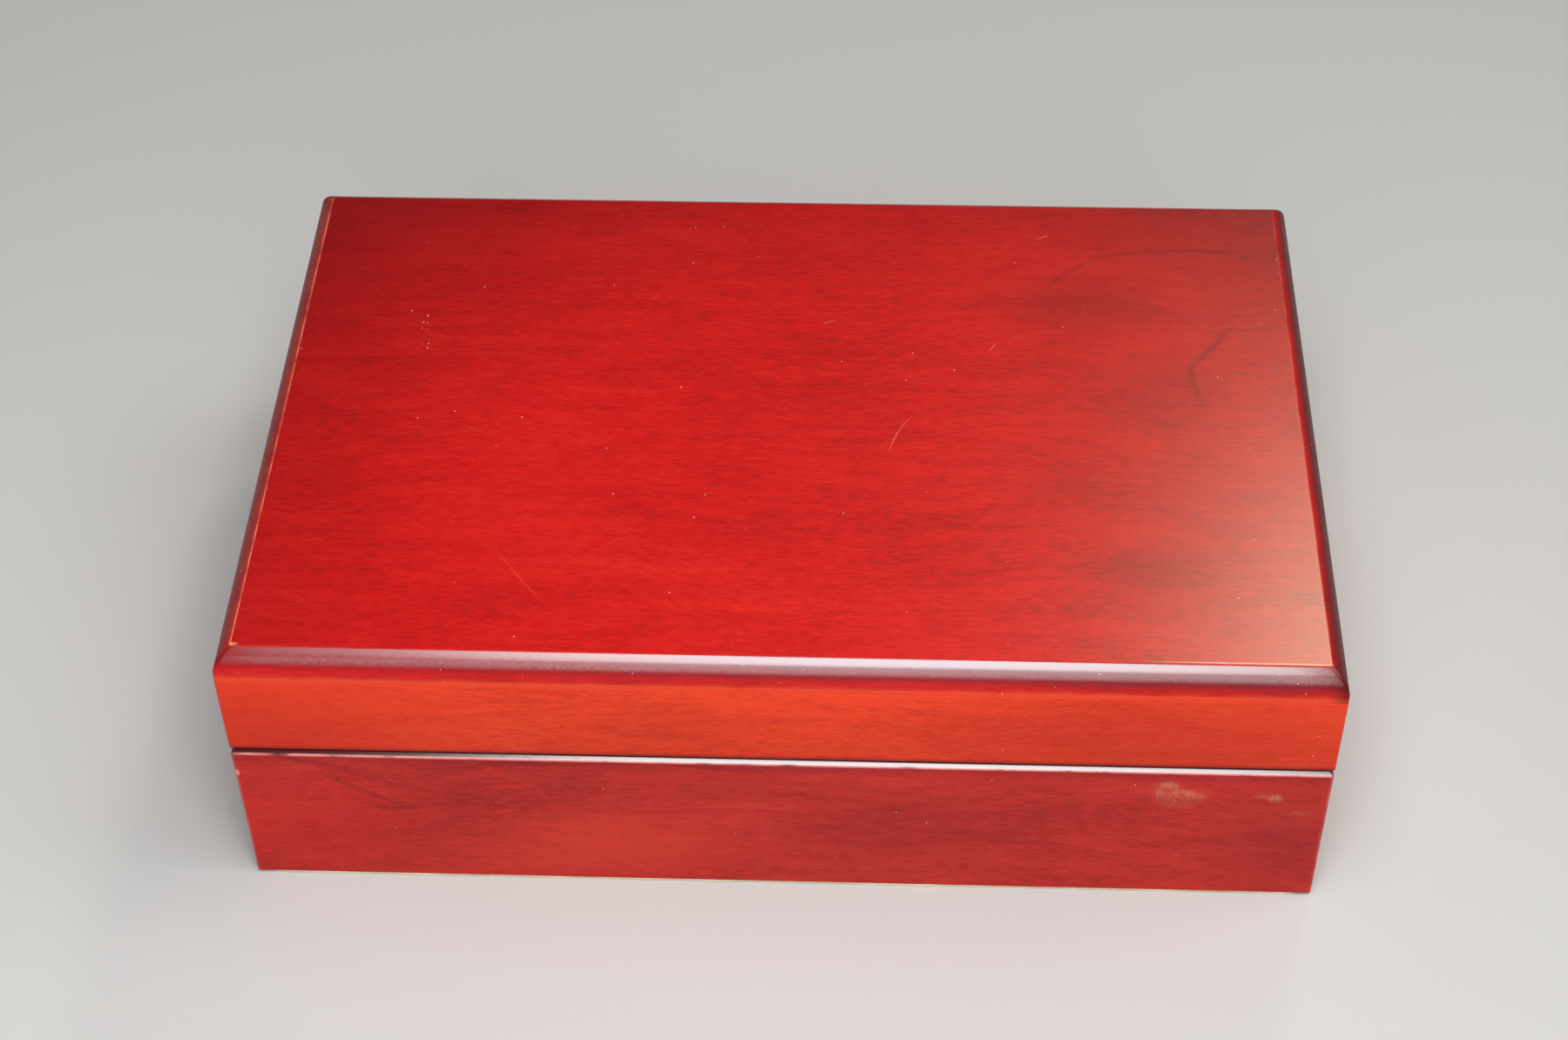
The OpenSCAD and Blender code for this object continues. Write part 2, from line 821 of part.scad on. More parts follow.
base_front_wall();
base_back_wall();
base_left_wall();
base_right_wall();
base_bottom_panel();
base_felt();
base_liner_front();
base_liner_back();
base_liner_left();
base_liner_right();
base_liner_floor();
hinge_base_leaf_left();
hinge_base_leaf_right();
hinge_pin_left();
hinge_pin_right();
hinge_base_screws();
lid_top_panel();
lid_front_rail();
lid_back_rail();
lid_left_rail();
lid_right_rail();
lid_liner_ceiling();
lid_liner_front();
lid_liner_back();
lid_liner_left();
lid_liner_right();
hinge_lid_leaf_left();
hinge_lid_leaf_right();
hinge_lid_screws();
hygrometer_case();
hygrometer_dial();
hygrometer_coil();
hygrometer_lens();
hygrometer_bezel();
hygrometer_pointer();
humidifier_keeper();
humidifier_case();
humidifier_foam();
humidifier_grille();
humidifier_magnets();
divider();
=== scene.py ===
# Cherry humidor: lacquered boards, a moulded lid, cedar lining, brass hinges, a hygrometer and a humidifier
import json
import math

import bmesh
import bpy
import numpy as np
from mathutils import Matrix, Vector


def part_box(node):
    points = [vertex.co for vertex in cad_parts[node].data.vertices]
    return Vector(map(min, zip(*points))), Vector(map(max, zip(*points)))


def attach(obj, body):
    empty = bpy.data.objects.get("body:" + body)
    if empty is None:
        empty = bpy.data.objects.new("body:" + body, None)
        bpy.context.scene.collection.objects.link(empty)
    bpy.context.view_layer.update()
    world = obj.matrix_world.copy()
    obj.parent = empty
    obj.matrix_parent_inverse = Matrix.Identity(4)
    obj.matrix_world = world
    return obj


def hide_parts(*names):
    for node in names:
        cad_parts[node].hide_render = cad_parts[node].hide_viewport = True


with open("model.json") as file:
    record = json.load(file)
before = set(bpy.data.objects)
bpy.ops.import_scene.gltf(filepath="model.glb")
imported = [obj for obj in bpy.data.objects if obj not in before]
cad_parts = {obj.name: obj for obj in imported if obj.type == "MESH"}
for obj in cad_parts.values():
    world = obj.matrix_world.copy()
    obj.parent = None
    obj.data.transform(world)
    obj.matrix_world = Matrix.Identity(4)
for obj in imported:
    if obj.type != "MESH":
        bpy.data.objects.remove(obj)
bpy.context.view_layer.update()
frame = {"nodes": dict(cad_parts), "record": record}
scene = bpy.context.scene
scene.view_settings.view_transform = "Standard"
mm = 0.001

# Sizes that several pieces share, read from the frame

topLow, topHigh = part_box("lid_top_panel")
wallLow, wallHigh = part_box("base_front_wall")
railLow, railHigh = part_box("lid_front_rail")
panelLow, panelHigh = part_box("base_bottom_panel")
linerLow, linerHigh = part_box("base_liner_front")
lidLinerLow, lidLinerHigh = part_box("lid_liner_front")
ceilingLow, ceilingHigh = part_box("lid_liner_ceiling")
bezelLow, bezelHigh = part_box("hygrometer_bezel")
hingeAxis = Vector(frame["record"]["behaviour"]["joints"][0]["pos_m"])

sides = ["front", "right", "back", "left"]  # in quarter turns from the front
boxHalf = (topHigh.x, topHigh.y)
innerHalf = (ceilingHigh.x, ceilingHigh.y)
gauge = ((bezelLow.x + bezelHigh.x) / 2, (bezelLow.y + bezelHigh.y) / 2)
gaugeBore = 18.65 * mm  # radius of the round hole that holds the hygrometer

# Shader helpers

black = (0.0, 0.0, 0.0, 1.0)
origin = (0.0, 0.0, 0.0)


def paint(red, green, blue):
    # a colour as it looks on screen, 0 to 255, turned into the linear values that a shader takes
    seen = np.array([red, green, blue]) / 255
    linear = np.where(seen <= 0.04045, seen / 12.92, ((seen + 0.055) / 1.055) ** 2.4)
    return (*linear.tolist(), 1.0)


def put(tree, kind, sockets=None, **options):
    # adds a node, sets its options, then links or fills its inputs
    node = tree.nodes.new("ShaderNode" + kind)
    node.location = (200 * len(tree.nodes), 0)
    for option, value in options.items():
        setattr(node, option, value)
    for key, value in (sockets or {}).items():
        if isinstance(value, bpy.types.NodeSocket):
            tree.links.new(value, node.inputs[key])
        else:
            node.inputs[key].default_value = value
    return node


def calc(tree, operation, a, b=0.0, clamp=False):
    return put(tree, "Math", {0: a, 1: b}, operation=operation, use_clamp=clamp).outputs[0]


def product(tree, value, *factors):
    for factor in factors:
        value = calc(tree, "MULTIPLY", value, factor)
    return value


def vectorCalc(tree, operation, a, b):
    return put(tree, "VectorMath", {0: a, 1: b}, operation=operation).outputs[0]


def spread(tree, value, low, high, toLow=0.0, toHigh=1.0, kind="LINEAR"):
    sockets = {"Value": value, "From Min": low, "From Max": high, "To Min": toLow, "To Max": toHigh}
    return put(tree, "MapRange", sockets, interpolation_type=kind).outputs["Result"]


def fade(tree, value, low, high):
    return spread(tree, value, low, high, kind="SMOOTHSTEP")


def mixColor(tree, factor, a, b):
    # a Mix node's colours are its sockets 6 and 7, and its mixed colour is its output 2
    return put(tree, "Mix", {0: factor, 6: a, 7: b}, data_type="RGBA").outputs[2]


def noise(tree, vector, cells, detail, roughness=0.55):
    # noise with its own number of cells to the metre along each axis, or one number for all three
    scale = cells if isinstance(cells, tuple) else (cells, cells, cells)
    moved = put(tree, "Mapping", {"Vector": vector, "Scale": scale}).outputs[0]
    sockets = {"Vector": moved, "Scale": 1.0, "Detail": detail, "Roughness": roughness}
    return put(tree, "TexNoise", sockets).outputs[0]


def bump(tree, height, distance, strength=1.0):
    # a height from 0 to 1, over the given distance in metres
    return put(tree, "Bump", {"Height": height, "Distance": distance, "Strength": strength}).outputs[0]


def attribute(tree, name):
    return put(tree, "Attribute", attribute_name=name).outputs["Fac"]


def newGroup(name, inputs, outputs):
    # an input's start value gives its kind: a number, a vector or a colour; every group reads a place
    tree = bpy.data.node_groups.new(name, "ShaderNodeTree")
    for title, value in {"Vector": origin, **inputs}.items():
        kind = "Float" if isinstance(value, float) else {3: "Vector", 4: "Color"}[len(value)]
        socket = tree.interface.new_socket(title, in_out="INPUT", socket_type="NodeSocket" + kind)
        socket.default_value = value
    for title in outputs:
        kind = "Color" if title == "Color" else "Float"
        tree.interface.new_socket(title, in_out="OUTPUT", socket_type="NodeSocket" + kind)
    return tree, tree.nodes.new("NodeGroupInput").outputs, tree.nodes.new("NodeGroupOutput").inputs


def useGroup(tree, group, sockets):
    return put(tree, "Group", sockets, node_tree=group).outputs


def newMaterial(name):
    material = bpy.data.materials.new(name)
    material.use_nodes = True
    tree = material.node_tree
    tree.nodes.clear()
    place = put(tree, "TexCoord").outputs["Object"]
    return material, tree, place


def finishMaterial(material, sockets):
    # the shader stays in the material; constants are set on its own sockets
    shader = put(material.node_tree, "BsdfPrincipled", sockets)
    put(material.node_tree, "OutputMaterial", {"Surface": shader.outputs[0]})
    return material


# Camera, lamps and world

cameraLook = {
    "place": (0.0219, -0.50307, 0.5588),
    "aim": (-0.00182, -0.00142, 0.04290),
    "roll": -0.913,  # degrees
    "lens": 64.32,  # millimetres
    "sensor": 36.0,  # millimetres wide
    "nearest": 0.01,  # metres
}

lampLooks = {
    "overheadBox": {"place": (0.035, -0.375, 0.84), "aim": (0.035, -0.08, 0.08), "size": (0.46, 0.60),
                    "power": 7.0, "color": (1.0, 1.0, 1.0)},
    "frontBox": {"place": (0.05, -0.812, 0.498), "aim": (0.05, -0.085, 0.078), "size": (0.80, 0.43),
                 "power": 3.15, "color": (1.0, 1.0, 1.0)},
    "backBox": {"place": (0.40, 0.80, 1.10), "aim": (0.10, -0.05, 0.08), "size": (0.20, 0.20),
                "power": 2.5, "color": (1.0, 0.9, 0.64)},
}

# a wide sky panel, far away
skyLook = {"place": (0.75, 0.10, 1.0), "aim": (0.0, 0.0, 0.0), "strength": 0.8, "angle": 35}  # degrees across

worldLook = {
    "high": (0.035, 0.035, 0.037, 1.0),  # overhead
    "low": (0.18, 0.18, 0.18, 1.0),  # near the horizon
    "slopes": (0.22, 0.5),  # upward part of a direction, between which one turns into the other
}


def addFacing(name, data, look):
    # stands at the place and faces the aim
    thing = bpy.data.objects.new(name, data)
    place = Vector(look["place"])
    turn = (Vector(look["aim"]) - place).to_track_quat("-Z", "Y").to_matrix().to_4x4()
    thing.matrix_world = Matrix.Translation(place) @ turn
    scene.collection.objects.link(thing)
    return thing


def addCamera(look):
    # the view rolls about its own direction
    view = bpy.data.cameras.new("camera")
    view.lens = look["lens"]
    view.sensor_width = look["sensor"]
    view.sensor_fit = "HORIZONTAL"
    view.clip_start = look["nearest"]
    camera = addFacing("camera", view, look)
    camera.matrix_world = camera.matrix_world @ Matrix.Rotation(math.radians(look["roll"]), 4, "Z")
    scene.camera = camera


def addLamp(name, look):
    # a flat soft box
    lamp = bpy.data.lights.new(name, "AREA")
    lamp.shape = "RECTANGLE"
    lamp.size, lamp.size_y = look["size"]
    lamp.energy = look["power"]
    lamp.color = look["color"]
    addFacing(name, lamp, look).visible_camera = False


def addSky(look):
    # even light over the whole floor
    lamp = bpy.data.lights.new("skyPanel", "SUN")
    lamp.energy = look["strength"]
    lamp.angle = math.radians(look["angle"])
    addFacing("skyPanel", lamp, look)


def addWorld(look):
    # even light from round the horizon, and little from overhead
    world = bpy.data.worlds.new("studio")
    scene.world = world
    world.use_nodes = True
    tree = world.node_tree
    way = put(tree, "TexCoord").outputs["Generated"]
    up = put(tree, "SeparateXYZ", {0: way}).outputs["Z"]
    share = fade(tree, up, *look["slopes"])
    tree.links.new(mixColor(tree, share, look["low"], look["high"]), tree.nodes["Background"].inputs["Color"])


addCamera(cameraLook)
addSky(skyLook)
for lampName, lampLook in lampLooks.items():
    addLamp(lampName, lampLook)
addWorld(worldLook)
print("studio: camera,", len(lampLooks) + 1, "lamps and world")

# Shader groups

grainLook = {
    "bend": 11.0,  # waves to the metre in which the grain wanders
    "wander": 0.016,  # metres that it may go
    "flecks": (280.0, 1400.0, 1400.0),  # cells to the metre, along the grain and across it
    "streaks": (45.0, 300.0, 300.0),
    "clouds": (11.0, 22.0, 22.0),
    "rings": (4.0, 17.0, 17.0),
    "ringTurns": 75.0,  # how close the growth lines lie
}


def makeWoodGrain(look):
    # grain along the vector's x: fine flecks, streaks, growth lines and clouds add up to one tone, which
    # runs from the deep colour through the middle one to the bright one
    tree, start, end = newGroup(
        "woodGrain",
        {"Deep": black, "Middle": black, "Bright": black,
         "Flecks": 0.3, "Streaks": 0.6, "Clouds": 0.6, "Figure": 0.2},
        ["Color", "Height", "Gloss"])
    waves = put(tree, "TexNoise", {"Vector": start["Vector"], "Scale": look["bend"], "Detail": 2.0})
    bend = vectorCalc(tree, "SUBTRACT", waves.outputs["Color"], (0.5, 0.5, 0.5))
    bend = vectorCalc(tree, "MULTIPLY", bend, (look["wander"],) * 3)
    bent = vectorCalc(tree, "ADD", start["Vector"], bend)
    flecks = noise(tree, bent, look["flecks"], 3.0, 0.65)
    streaks = noise(tree, bent, look["streaks"], 4.0, 0.6)
    clouds = noise(tree, bent, look["clouds"], 3.0, 0.6)
    rings = noise(tree, bent, look["rings"], 1.0)
    lines = fade(tree, calc(tree, "SINE", product(tree, rings, look["ringTurns"])), 0.55, 1.0)
    tone = product(tree, lines, spread(tree, streaks, 0.40, 0.62), start["Figure"], -1.0)
    for part, title in ((flecks, "Flecks"), (streaks, "Streaks"), (clouds, "Clouds")):
        tone = calc(tree, "ADD", tone, product(tree, calc(tree, "SUBTRACT", part, 0.5), start[title]))
    color = mixColor(tree, spread(tree, tone, -0.5, 0.0), start["Deep"], start["Middle"])
    color = mixColor(tree, spread(tree, tone, 0.0, 0.5), color, start["Bright"])
    height = calc(tree, "ADD", product(tree, flecks, 0.6), product(tree, streaks, 0.4))
    tree.links.new(color, end["Color"])
    tree.links.new(height, end["Height"])
    tree.links.new(spread(tree, clouds, 0.3, 0.7), end["Gloss"])
    return tree


maskLook = {
    "gapCells": 320.0,  # cells to the metre of the noise that breaks a line
    "gaps": (0.6, 0.42),  # noise values between which it does
    "grainCells": 1900.0,  # cells to the metre of a scuff's grains
    "grains": (0.42, 0.62),
    "faintest": 0.2,  # what is left of a scuff between its grains
}


def makeEdgeWear():
    # the rim value of a mesh, broken up by noise, so that an edge is rubbed in places; along the top's crease
    # and the base's seam this is a painted sheen and highlight
    tree, start, end = newGroup("edgeWearAndSheen", {"Rim": 0.0, "Amount": 0.5, "Cells": 160.0}, ["Mask"])
    patches = put(tree, "TexNoise", {"Vector": start["Vector"], "Scale": start["Cells"], "Detail": 4.0})
    rubbed = spread(tree, patches.outputs[0], 0.25, 0.6)
    worn = calc(tree, "MULTIPLY", product(tree, start["Rim"], start["Amount"]), rubbed, clamp=True)
    tree.links.new(worn, end["Mask"])
    return tree


def makeDustSpecks():
    # the nearest point of a scattered set: a speck shows where it lies closer than the speck's radius
    tree, start, end = newGroup("dustSpecks", {"Cells": 120.0, "Radius": 0.0003, "Keep": 0.5}, ["Mask"])
    nearest = put(tree, "TexVoronoi", {"Vector": start["Vector"], "Scale": start["Cells"]}).outputs
    far = calc(tree, "DIVIDE", nearest["Distance"], product(tree, start["Radius"], start["Cells"]))
    closeness = calc(tree, "SUBTRACT", 1.0, far, clamp=True)
    draw = put(tree, "SeparateColor", {"Color": nearest["Color"]}).outputs[0]
    kept = calc(tree, "LESS_THAN", draw, start["Keep"])
    tree.links.new(product(tree, spread(tree, closeness, 0.0, 0.5), kept), end["Mask"])
    return tree


def makeLineMark(look):
    # a thin curved mark: about its centre, after a lift about x that lays an upright face flat and a turn
    # in the plane, y = bend * x * x within its length; noise takes away part of it where it is broken
    tree, start, end = newGroup(
        "lineMark",
        {"Centre": origin, "Lift": 0.0, "Angle": 0.0, "Half Length": 0.01, "Bend": 0.0, "Width": 0.0003,
         "Break": 0.4},
        ["Mask"])
    off = vectorCalc(tree, "SUBTRACT", start["Vector"], start["Centre"])
    lift = {"Vector": off, "Angle": start["Lift"]}
    flat = put(tree, "VectorRotate", lift, rotation_type="X_AXIS").outputs[0]
    back = {"Vector": flat, "Angle": product(tree, start["Angle"], -1.0)}
    turned = put(tree, "VectorRotate", back, rotation_type="Z_AXIS").outputs[0]
    part = put(tree, "SeparateXYZ", {0: turned}).outputs
    curve = product(tree, part["X"], part["X"], start["Bend"])
    across = calc(tree, "ABSOLUTE", calc(tree, "SUBTRACT", part["Y"], curve))
    line = calc(tree, "SUBTRACT", 1.0, calc(tree, "DIVIDE", across, start["Width"]), clamp=True)
    along = calc(tree, "DIVIDE", calc(tree, "ABSOLUTE", part["X"]), start["Half Length"])
    gaps = spread(tree, noise(tree, start["Vector"], look["gapCells"], 3.0), *look["gaps"])
    kept = calc(tree, "SUBTRACT", 1.0, product(tree, gaps, start["Break"]))
    tree.links.new(product(tree, line, spread(tree, along, 1.0, 0.4), kept), end["Mask"])
    return tree


def ovalDistance(tree, start):
    # how far a point lies from the centre, measured in the three sizes
    off = vectorCalc(tree, "SUBTRACT", start["Vector"], start["Centre"])
    off = vectorCalc(tree, "DIVIDE", off, start["Size"])
    return put(tree, "VectorMath", {0: off}, operation="LENGTH").outputs["Value"]


def makeScuffMark(look):
    # an oval patch about its centre that thins out to its edge, made of fine grains of noise
    tree, start, end = newGroup("scuffMark", {"Centre": origin, "Size": (0.005, 0.005, 0.005)}, ["Mask"])
    grains = noise(tree, start["Vector"], look["grainCells"], 4.0, 0.75)
    grains = spread(tree, grains, *look["grains"], look["faintest"], 1.0)
    inside = fade(tree, ovalDistance(tree, start), 1.2, 0.2)
    tree.links.new(product(tree, inside, grains), end["Mask"])
    return tree


def makeOvalFade():
    # the inside mask falls from the centre to the oval, and the outside mask rises from within it to a
    # little beyond
    tree, start, end = newGroup(
        "ovalFade", {"Centre": origin, "Size": (0.1, 0.1, 0.1)}, ["Inside", "Outside"])
    far = ovalDistance(tree, start)
    tree.links.new(fade(tree, far, 1.0, 0.1), end["Inside"])
    tree.links.new(fade(tree, far, 0.4, 1.1), end["Outside"])
    return tree


def makeBandFade():
    # rises with the height of a point, from 0 at one level to 1 at another
    tree, start, end = newGroup("bandFade", {"From": 0.0, "To": 1.0}, ["Mask"])
    height = put(tree, "SeparateXYZ", {0: start["Vector"]}).outputs["Z"]
    tree.links.new(fade(tree, height, start["From"], start["To"]), end["Mask"])
    return tree


def makeSpeckTrail():
    # specks that lie only along a line mark
    line = {"Centre": origin, "Angle": 0.0, "Half Length": 0.01, "Bend": 0.0, "Width": 0.001}
    specks = {"Cells": 900.0, "Radius": 0.00025, "Keep": 0.6}
    tree, start, end = newGroup("speckTrail", {**line, **specks}, ["Mask"])
    along = useGroup(tree, lineMark, {key: start[key] for key in ("Vector", *line)} | {"Break": 0.0})["Mask"]
    spots = useGroup(tree, dustSpecks, {key: start[key] for key in ("Vector", *specks)})["Mask"]
    tree.links.new(product(tree, spots, spread(tree, along, 0.0, 0.3)), end["Mask"])
    return tree


woodGrain = makeWoodGrain(grainLook)
edgeWearAndSheen = makeEdgeWear()
dustSpecks = makeDustSpecks()
lineMark = makeLineMark(maskLook)
scuffMark = makeScuffMark(maskLook)
ovalFade = makeOvalFade()
bandFade = makeBandFade()
speckTrail = makeSpeckTrail()
print("shader groups:", len(bpy.data.node_groups))

# Tints and marks of the cherry, some of them painted shade and highlights: each is a mask group, its output
# and values, the colour that it lays on, and how much of it. Their places and sizes are in millimetres, and
# only a stroke's bend is to the metre.

topLevel = topHigh.z / mm
frontLevel = wallLow.y / mm
anyDepth = 1000.0  # size of an oval along the way that it doesn't fade
upright = -math.pi / 2  # lift of a mark on the front


def metres(*lengths):
    return tuple(length * mm for length in lengths)


def band(low, high, color, strength):
    return bandFade, "Mask", {"From": low * mm, "To": high * mm}, color, strength


def oval(centre, size, color, strength, output="Inside"):
    return ovalFade, output, {"Centre": metres(*centre), "Size": metres(*size)}, color, strength


def topOval(x, y, wide, deep, *rest):
    return oval((x, y, topLevel), (wide, deep, anyDepth), *rest)


def frontOval(x, z, wide, high, *rest):
    return oval((x, frontLevel, z), (wide, anyDepth, high), *rest)


def scuffed(centre, size, color, strength):
    return scuffMark, "Mask", {"Centre": metres(*centre), "Size": metres(*size)}, color, strength


def stroke(centre, lift, angle, half, bend, width, color, strength, gaps=0.4):
    values = {"Centre": metres(*centre), "Lift": lift, "Angle": angle, "Half Length": half * mm, "Bend": bend,
              "Width": width * mm, "Break": gaps}
    return lineMark, "Mask", values, color, strength


def topStroke(x, y, *rest):
    return stroke((x, y, topLevel), 0.0, *rest)


def frontStroke(x, z, *rest):
    return stroke((x, frontLevel, z), upright, *rest)


figureDark = paint(88, 10, 12)
figureRed = paint(120, 6, 12)
veinDark = paint(84, 6, 12)
shadeDark = paint(104, 12, 20)
streakDark = paint(96, 8, 14)
scratch = paint(238, 150, 128)
bare = paint(244, 190, 150)
scuff = paint(206, 148, 116)

# ovals: place, half sizes, colour, strength
# strokes: place, angle, half length, bend, width, colour, strength, gaps
topFigureAndShade = [
    # painted shade: the top darkens towards its back and left edges, where less light falls
    topOval(15, -45, 200, 180, paint(104, 2, 8), 0.8, "Outside"),
    topOval(85, 0, 45, 100, paint(96, 16, 10), 0.12),
    topOval(118, -62, 50, 70, paint(96, 6, 6), 0.22),
    topOval(70, 42, 32, 16, figureDark, 0.3),
    topOval(92, 8, 22, 20, figureDark, 0.16),
    topOval(73, -25, 30, 10, figureDark, 0.16),
    topOval(85, -53, 26, 12, figureDark, 0.26),
    topOval(-4, -37, 16, 8, figureRed, 0.14),
    topOval(-68, -66, 20, 8, figureRed, 0.15),
    topStroke(105.8, 25.7, 0.94, 13, 6.0, 1.5, figureDark, 0.55, 0.3),
    topStroke(100.4, 13.0, 1.69, 11, -12.0, 1.3, figureDark, 0.5, 0.3),
    topStroke(72.6, 55.8, 0.68, 16, -8.0, 1.1, figureDark, 0.4),
    topStroke(115.5, 33.0, 0.09, 13, -4.0, 0.9, figureDark, 0.4),
    topStroke(98.0, 63.4, 0.05, 28, -4.0, 1.2, figureDark, 0.55, 0.2),
    topStroke(76.0, -22.0, -0.08, 14, 3.0, 0.8, paint(236, 70, 46), 0.15),
]

topMarksAndHighlight = [
    topStroke(26.8, -6.8, 1.16, 7.8, -16.0, 0.2, scratch, 0.6),
    topStroke(50.5, 24.8, 1.0, 2, 0.0, 0.2, scratch, 0.6),
    topStroke(8.8, 33.5, 0.45, 2, 0.0, 0.2, scratch, 0.5),
    topStroke(64.2, 68.3, 0.4, 2.5, 0.0, 0.3, paint(214, 140, 100), 0.5),
    topStroke(-62.5, -56.5, -0.92, 12, 4.0, 0.4, paint(228, 84, 56), 0.3),
    topStroke(-81.0, -6.5, -0.35, 10, -10.0, 0.4, paint(220, 70, 50), 0.25),
    (speckTrail, "Mask", {"Centre": metres(-94.4, 33, 0), "Angle": 1.45, "Half Length": 14 * mm,
                          "Bend": -22.0}, paint(240, 200, 170), 0.9),
    # painted highlight: a pale line along the front crease at the right, where the crease catches light from
    # behind
    topStroke(108.0, -80.2, 0.0, 26, 0.0, 0.3, paint(250, 222, 176), 0.55, 0.3),
    scuffed((-125.5, -80.2, topLevel), (1.6, 0.6, 4), bare, 0.9),
]

mouldTints = [band(74.0, 73.3, paint(226, 62, 30), 0.95)]
mouldPaintedLightAndSpecks = [
    # painted shade on the right moulding, which faces away from the light
    oval((130.5, 0, 76.5), (6.5, 300, 12), paint(58, 6, 14), 0.85),
    # painted highlight tint: dark purple under the front moulding's highlight, so that the highlight shows
    # lavender white
    oval((30, -83.5, 80), (110, 50, 2.6), paint(64, 6, 56), 0.75),
    # painted shade over the right half of the front moulding, where its highlight dims
    oval((118, -85, 79), (90, 50, 6), paint(64, 6, 16), 0.4),
    (speckTrail, "Mask", {"Centre": metres(0, -83.5, 0), "Half Length": 260 * mm, "Width": 6 * mm,
                          "Cells": 320.0, "Radius": 0.22 * mm, "Keep": 0.5}, paint(226, 170, 150), 0.8),
]

# painted shade: the lid's boards darken towards their lower edge at the seam, where shade falls
lidSeamShade = band(50, 48, paint(104, 8, 10), 0.75)
lidShadeAndTints = [
    lidSeamShade,
    frontOval(-27, 60.4, 30, 12, paint(140, 14, 14), 0.15),
    frontOval(90, 60, 80, 30, paint(150, 20, 18), 0.3),
    frontOval(-130, 60, 70, 40, paint(196, 20, 6), 0.4),
]

# the base's boards darken towards the seam
baseBand = band(41.5, 45.8, paint(110, 10, 30), 0.4)
baseTints = [
    baseBand,
    frontOval(30, 22, 45, 22, shadeDark, 0.26),
    frontOval(122, 22, 30, 30, shadeDark, 0.3),
    frontOval(-120, 20, 60, 30, paint(206, 30, 22), 0.35),
    frontOval(-45, 14, 45, 18, paint(222, 64, 38), 0.4),
    frontStroke(-111.0, 43.6, -0.24, 14, 2.0, 1.3, veinDark, 0.55, 0.5),
    frontStroke(-100.5, 33.5, -0.57, 14, 5.0, 1.2, veinDark, 0.5, 0.6),
    frontStroke(-98.5, 38.5, -0.42, 14, 5.0, 0.9, veinDark, 0.4, 0.7),
    frontStroke(-93.5, 27.0, 0.0, 9, 3.0, 1.2, veinDark, 0.5),
    frontStroke(-93.5, 31.5, -0.4, 10, 3.0, 0.6, paint(222, 66, 42), 0.25, 0.3),
    frontStroke(20.0, 37.5, -0.12, 45, -1.2, 1.2, streakDark, 0.2),
    frontStroke(10.0, 34.5, -0.16, 40, -1.5, 1.4, streakDark, 0.18),
]

# x, z, half width, half height and strength of the rubbed patches on the front wall
scuffs = [
    (91.4, 39.8, 4.4, 4.0, 0.24), (96.8, 38.4, 5.6, 2.2, 0.2), (94.5, 35.5, 6.4, 3.2, 0.2),
    (91.8, 41.6, 2.8, 1.6, 0.5), (89.9, 38.4, 1.1, 2.4, 0.35), (93.8, 39.5, 0.9, 2.4, 0.45),
    (95.7, 39.4, 1.8, 1.0, 0.45), (97.1, 38.7, 1.5, 1.2, 0.5), (99.1, 37.6, 2.4, 1.1, 0.35),
    (117.2, 37.5, 2.2, 1.8, 0.62), (114.6, 38.1, 3.2, 1.1, 0.24), (122.8, 32.0, 4.0, 1.2, 0.2),
]
frontMarks = [scuffed((x, frontLevel, z), (wide, 4, high), scuff, strength)
              for x, z, wide, high, strength in scuffs]
frontMarks.append(scuffed((-129.5, frontLevel, 39.0), (0.7, 2, 1.4), bare, 0.9))

# Cherry finishes
# turn: degrees that bring the grain onto x; shift: which part of the tree the board was cut from;
# coat: weight of the lacquer, and edgeCoat its weight where the mesh is marked as glossy

lacquerLook = {
    "roughness": (0.42, 0.54),
    "specular": 0.1,
    "poreDepth": 0.03 * mm,
    "poreStrength": 0.5,
    "rubbed": paint(240, 84, 50),
    "dust": paint(236, 196, 176),
    "specks": {"Cells": 180.0, "Radius": 0.2 * mm, "Keep": 0.55},
    "gritCells": 1500.0,  # where the thick lacquer of an edge thins out
    "grit": 4.0,
}

topWood = {
    "deep": paint(98, 3, 8), "middle": paint(190, 16, 15), "bright": paint(220, 40, 30),
    "turn": 0, "shift": (0.0, 0.0, 0.0),
    "grain": {"flecks": 0.75, "streaks": 0.45, "clouds": 0.5, "figure": 0.08}}
board = {
    # the seam's dark colour: painted shade on the rim and the lid's lower chamfer in the gap between lid and
    # base, and a dark stain on the walls' chamfer
    "stain": paint(84, 4, 10),
    "sheen": {"coat": 0.06, "edgeCoat": 1.0, "coatRoughness": 0.18, "coatIor": 1.95}}
lidBoard = {
    **board, "tints": [lidSeamShade],
    "grain": {"flecks": 0.75, "streaks": 0.45, "clouds": 0.55, "figure": 0.1}}
baseBoard = {
    **board, "tints": [baseBand],
    "grain": {"flecks": 0.85, "streaks": 0.6, "clouds": 0.75, "figure": 0.15}}

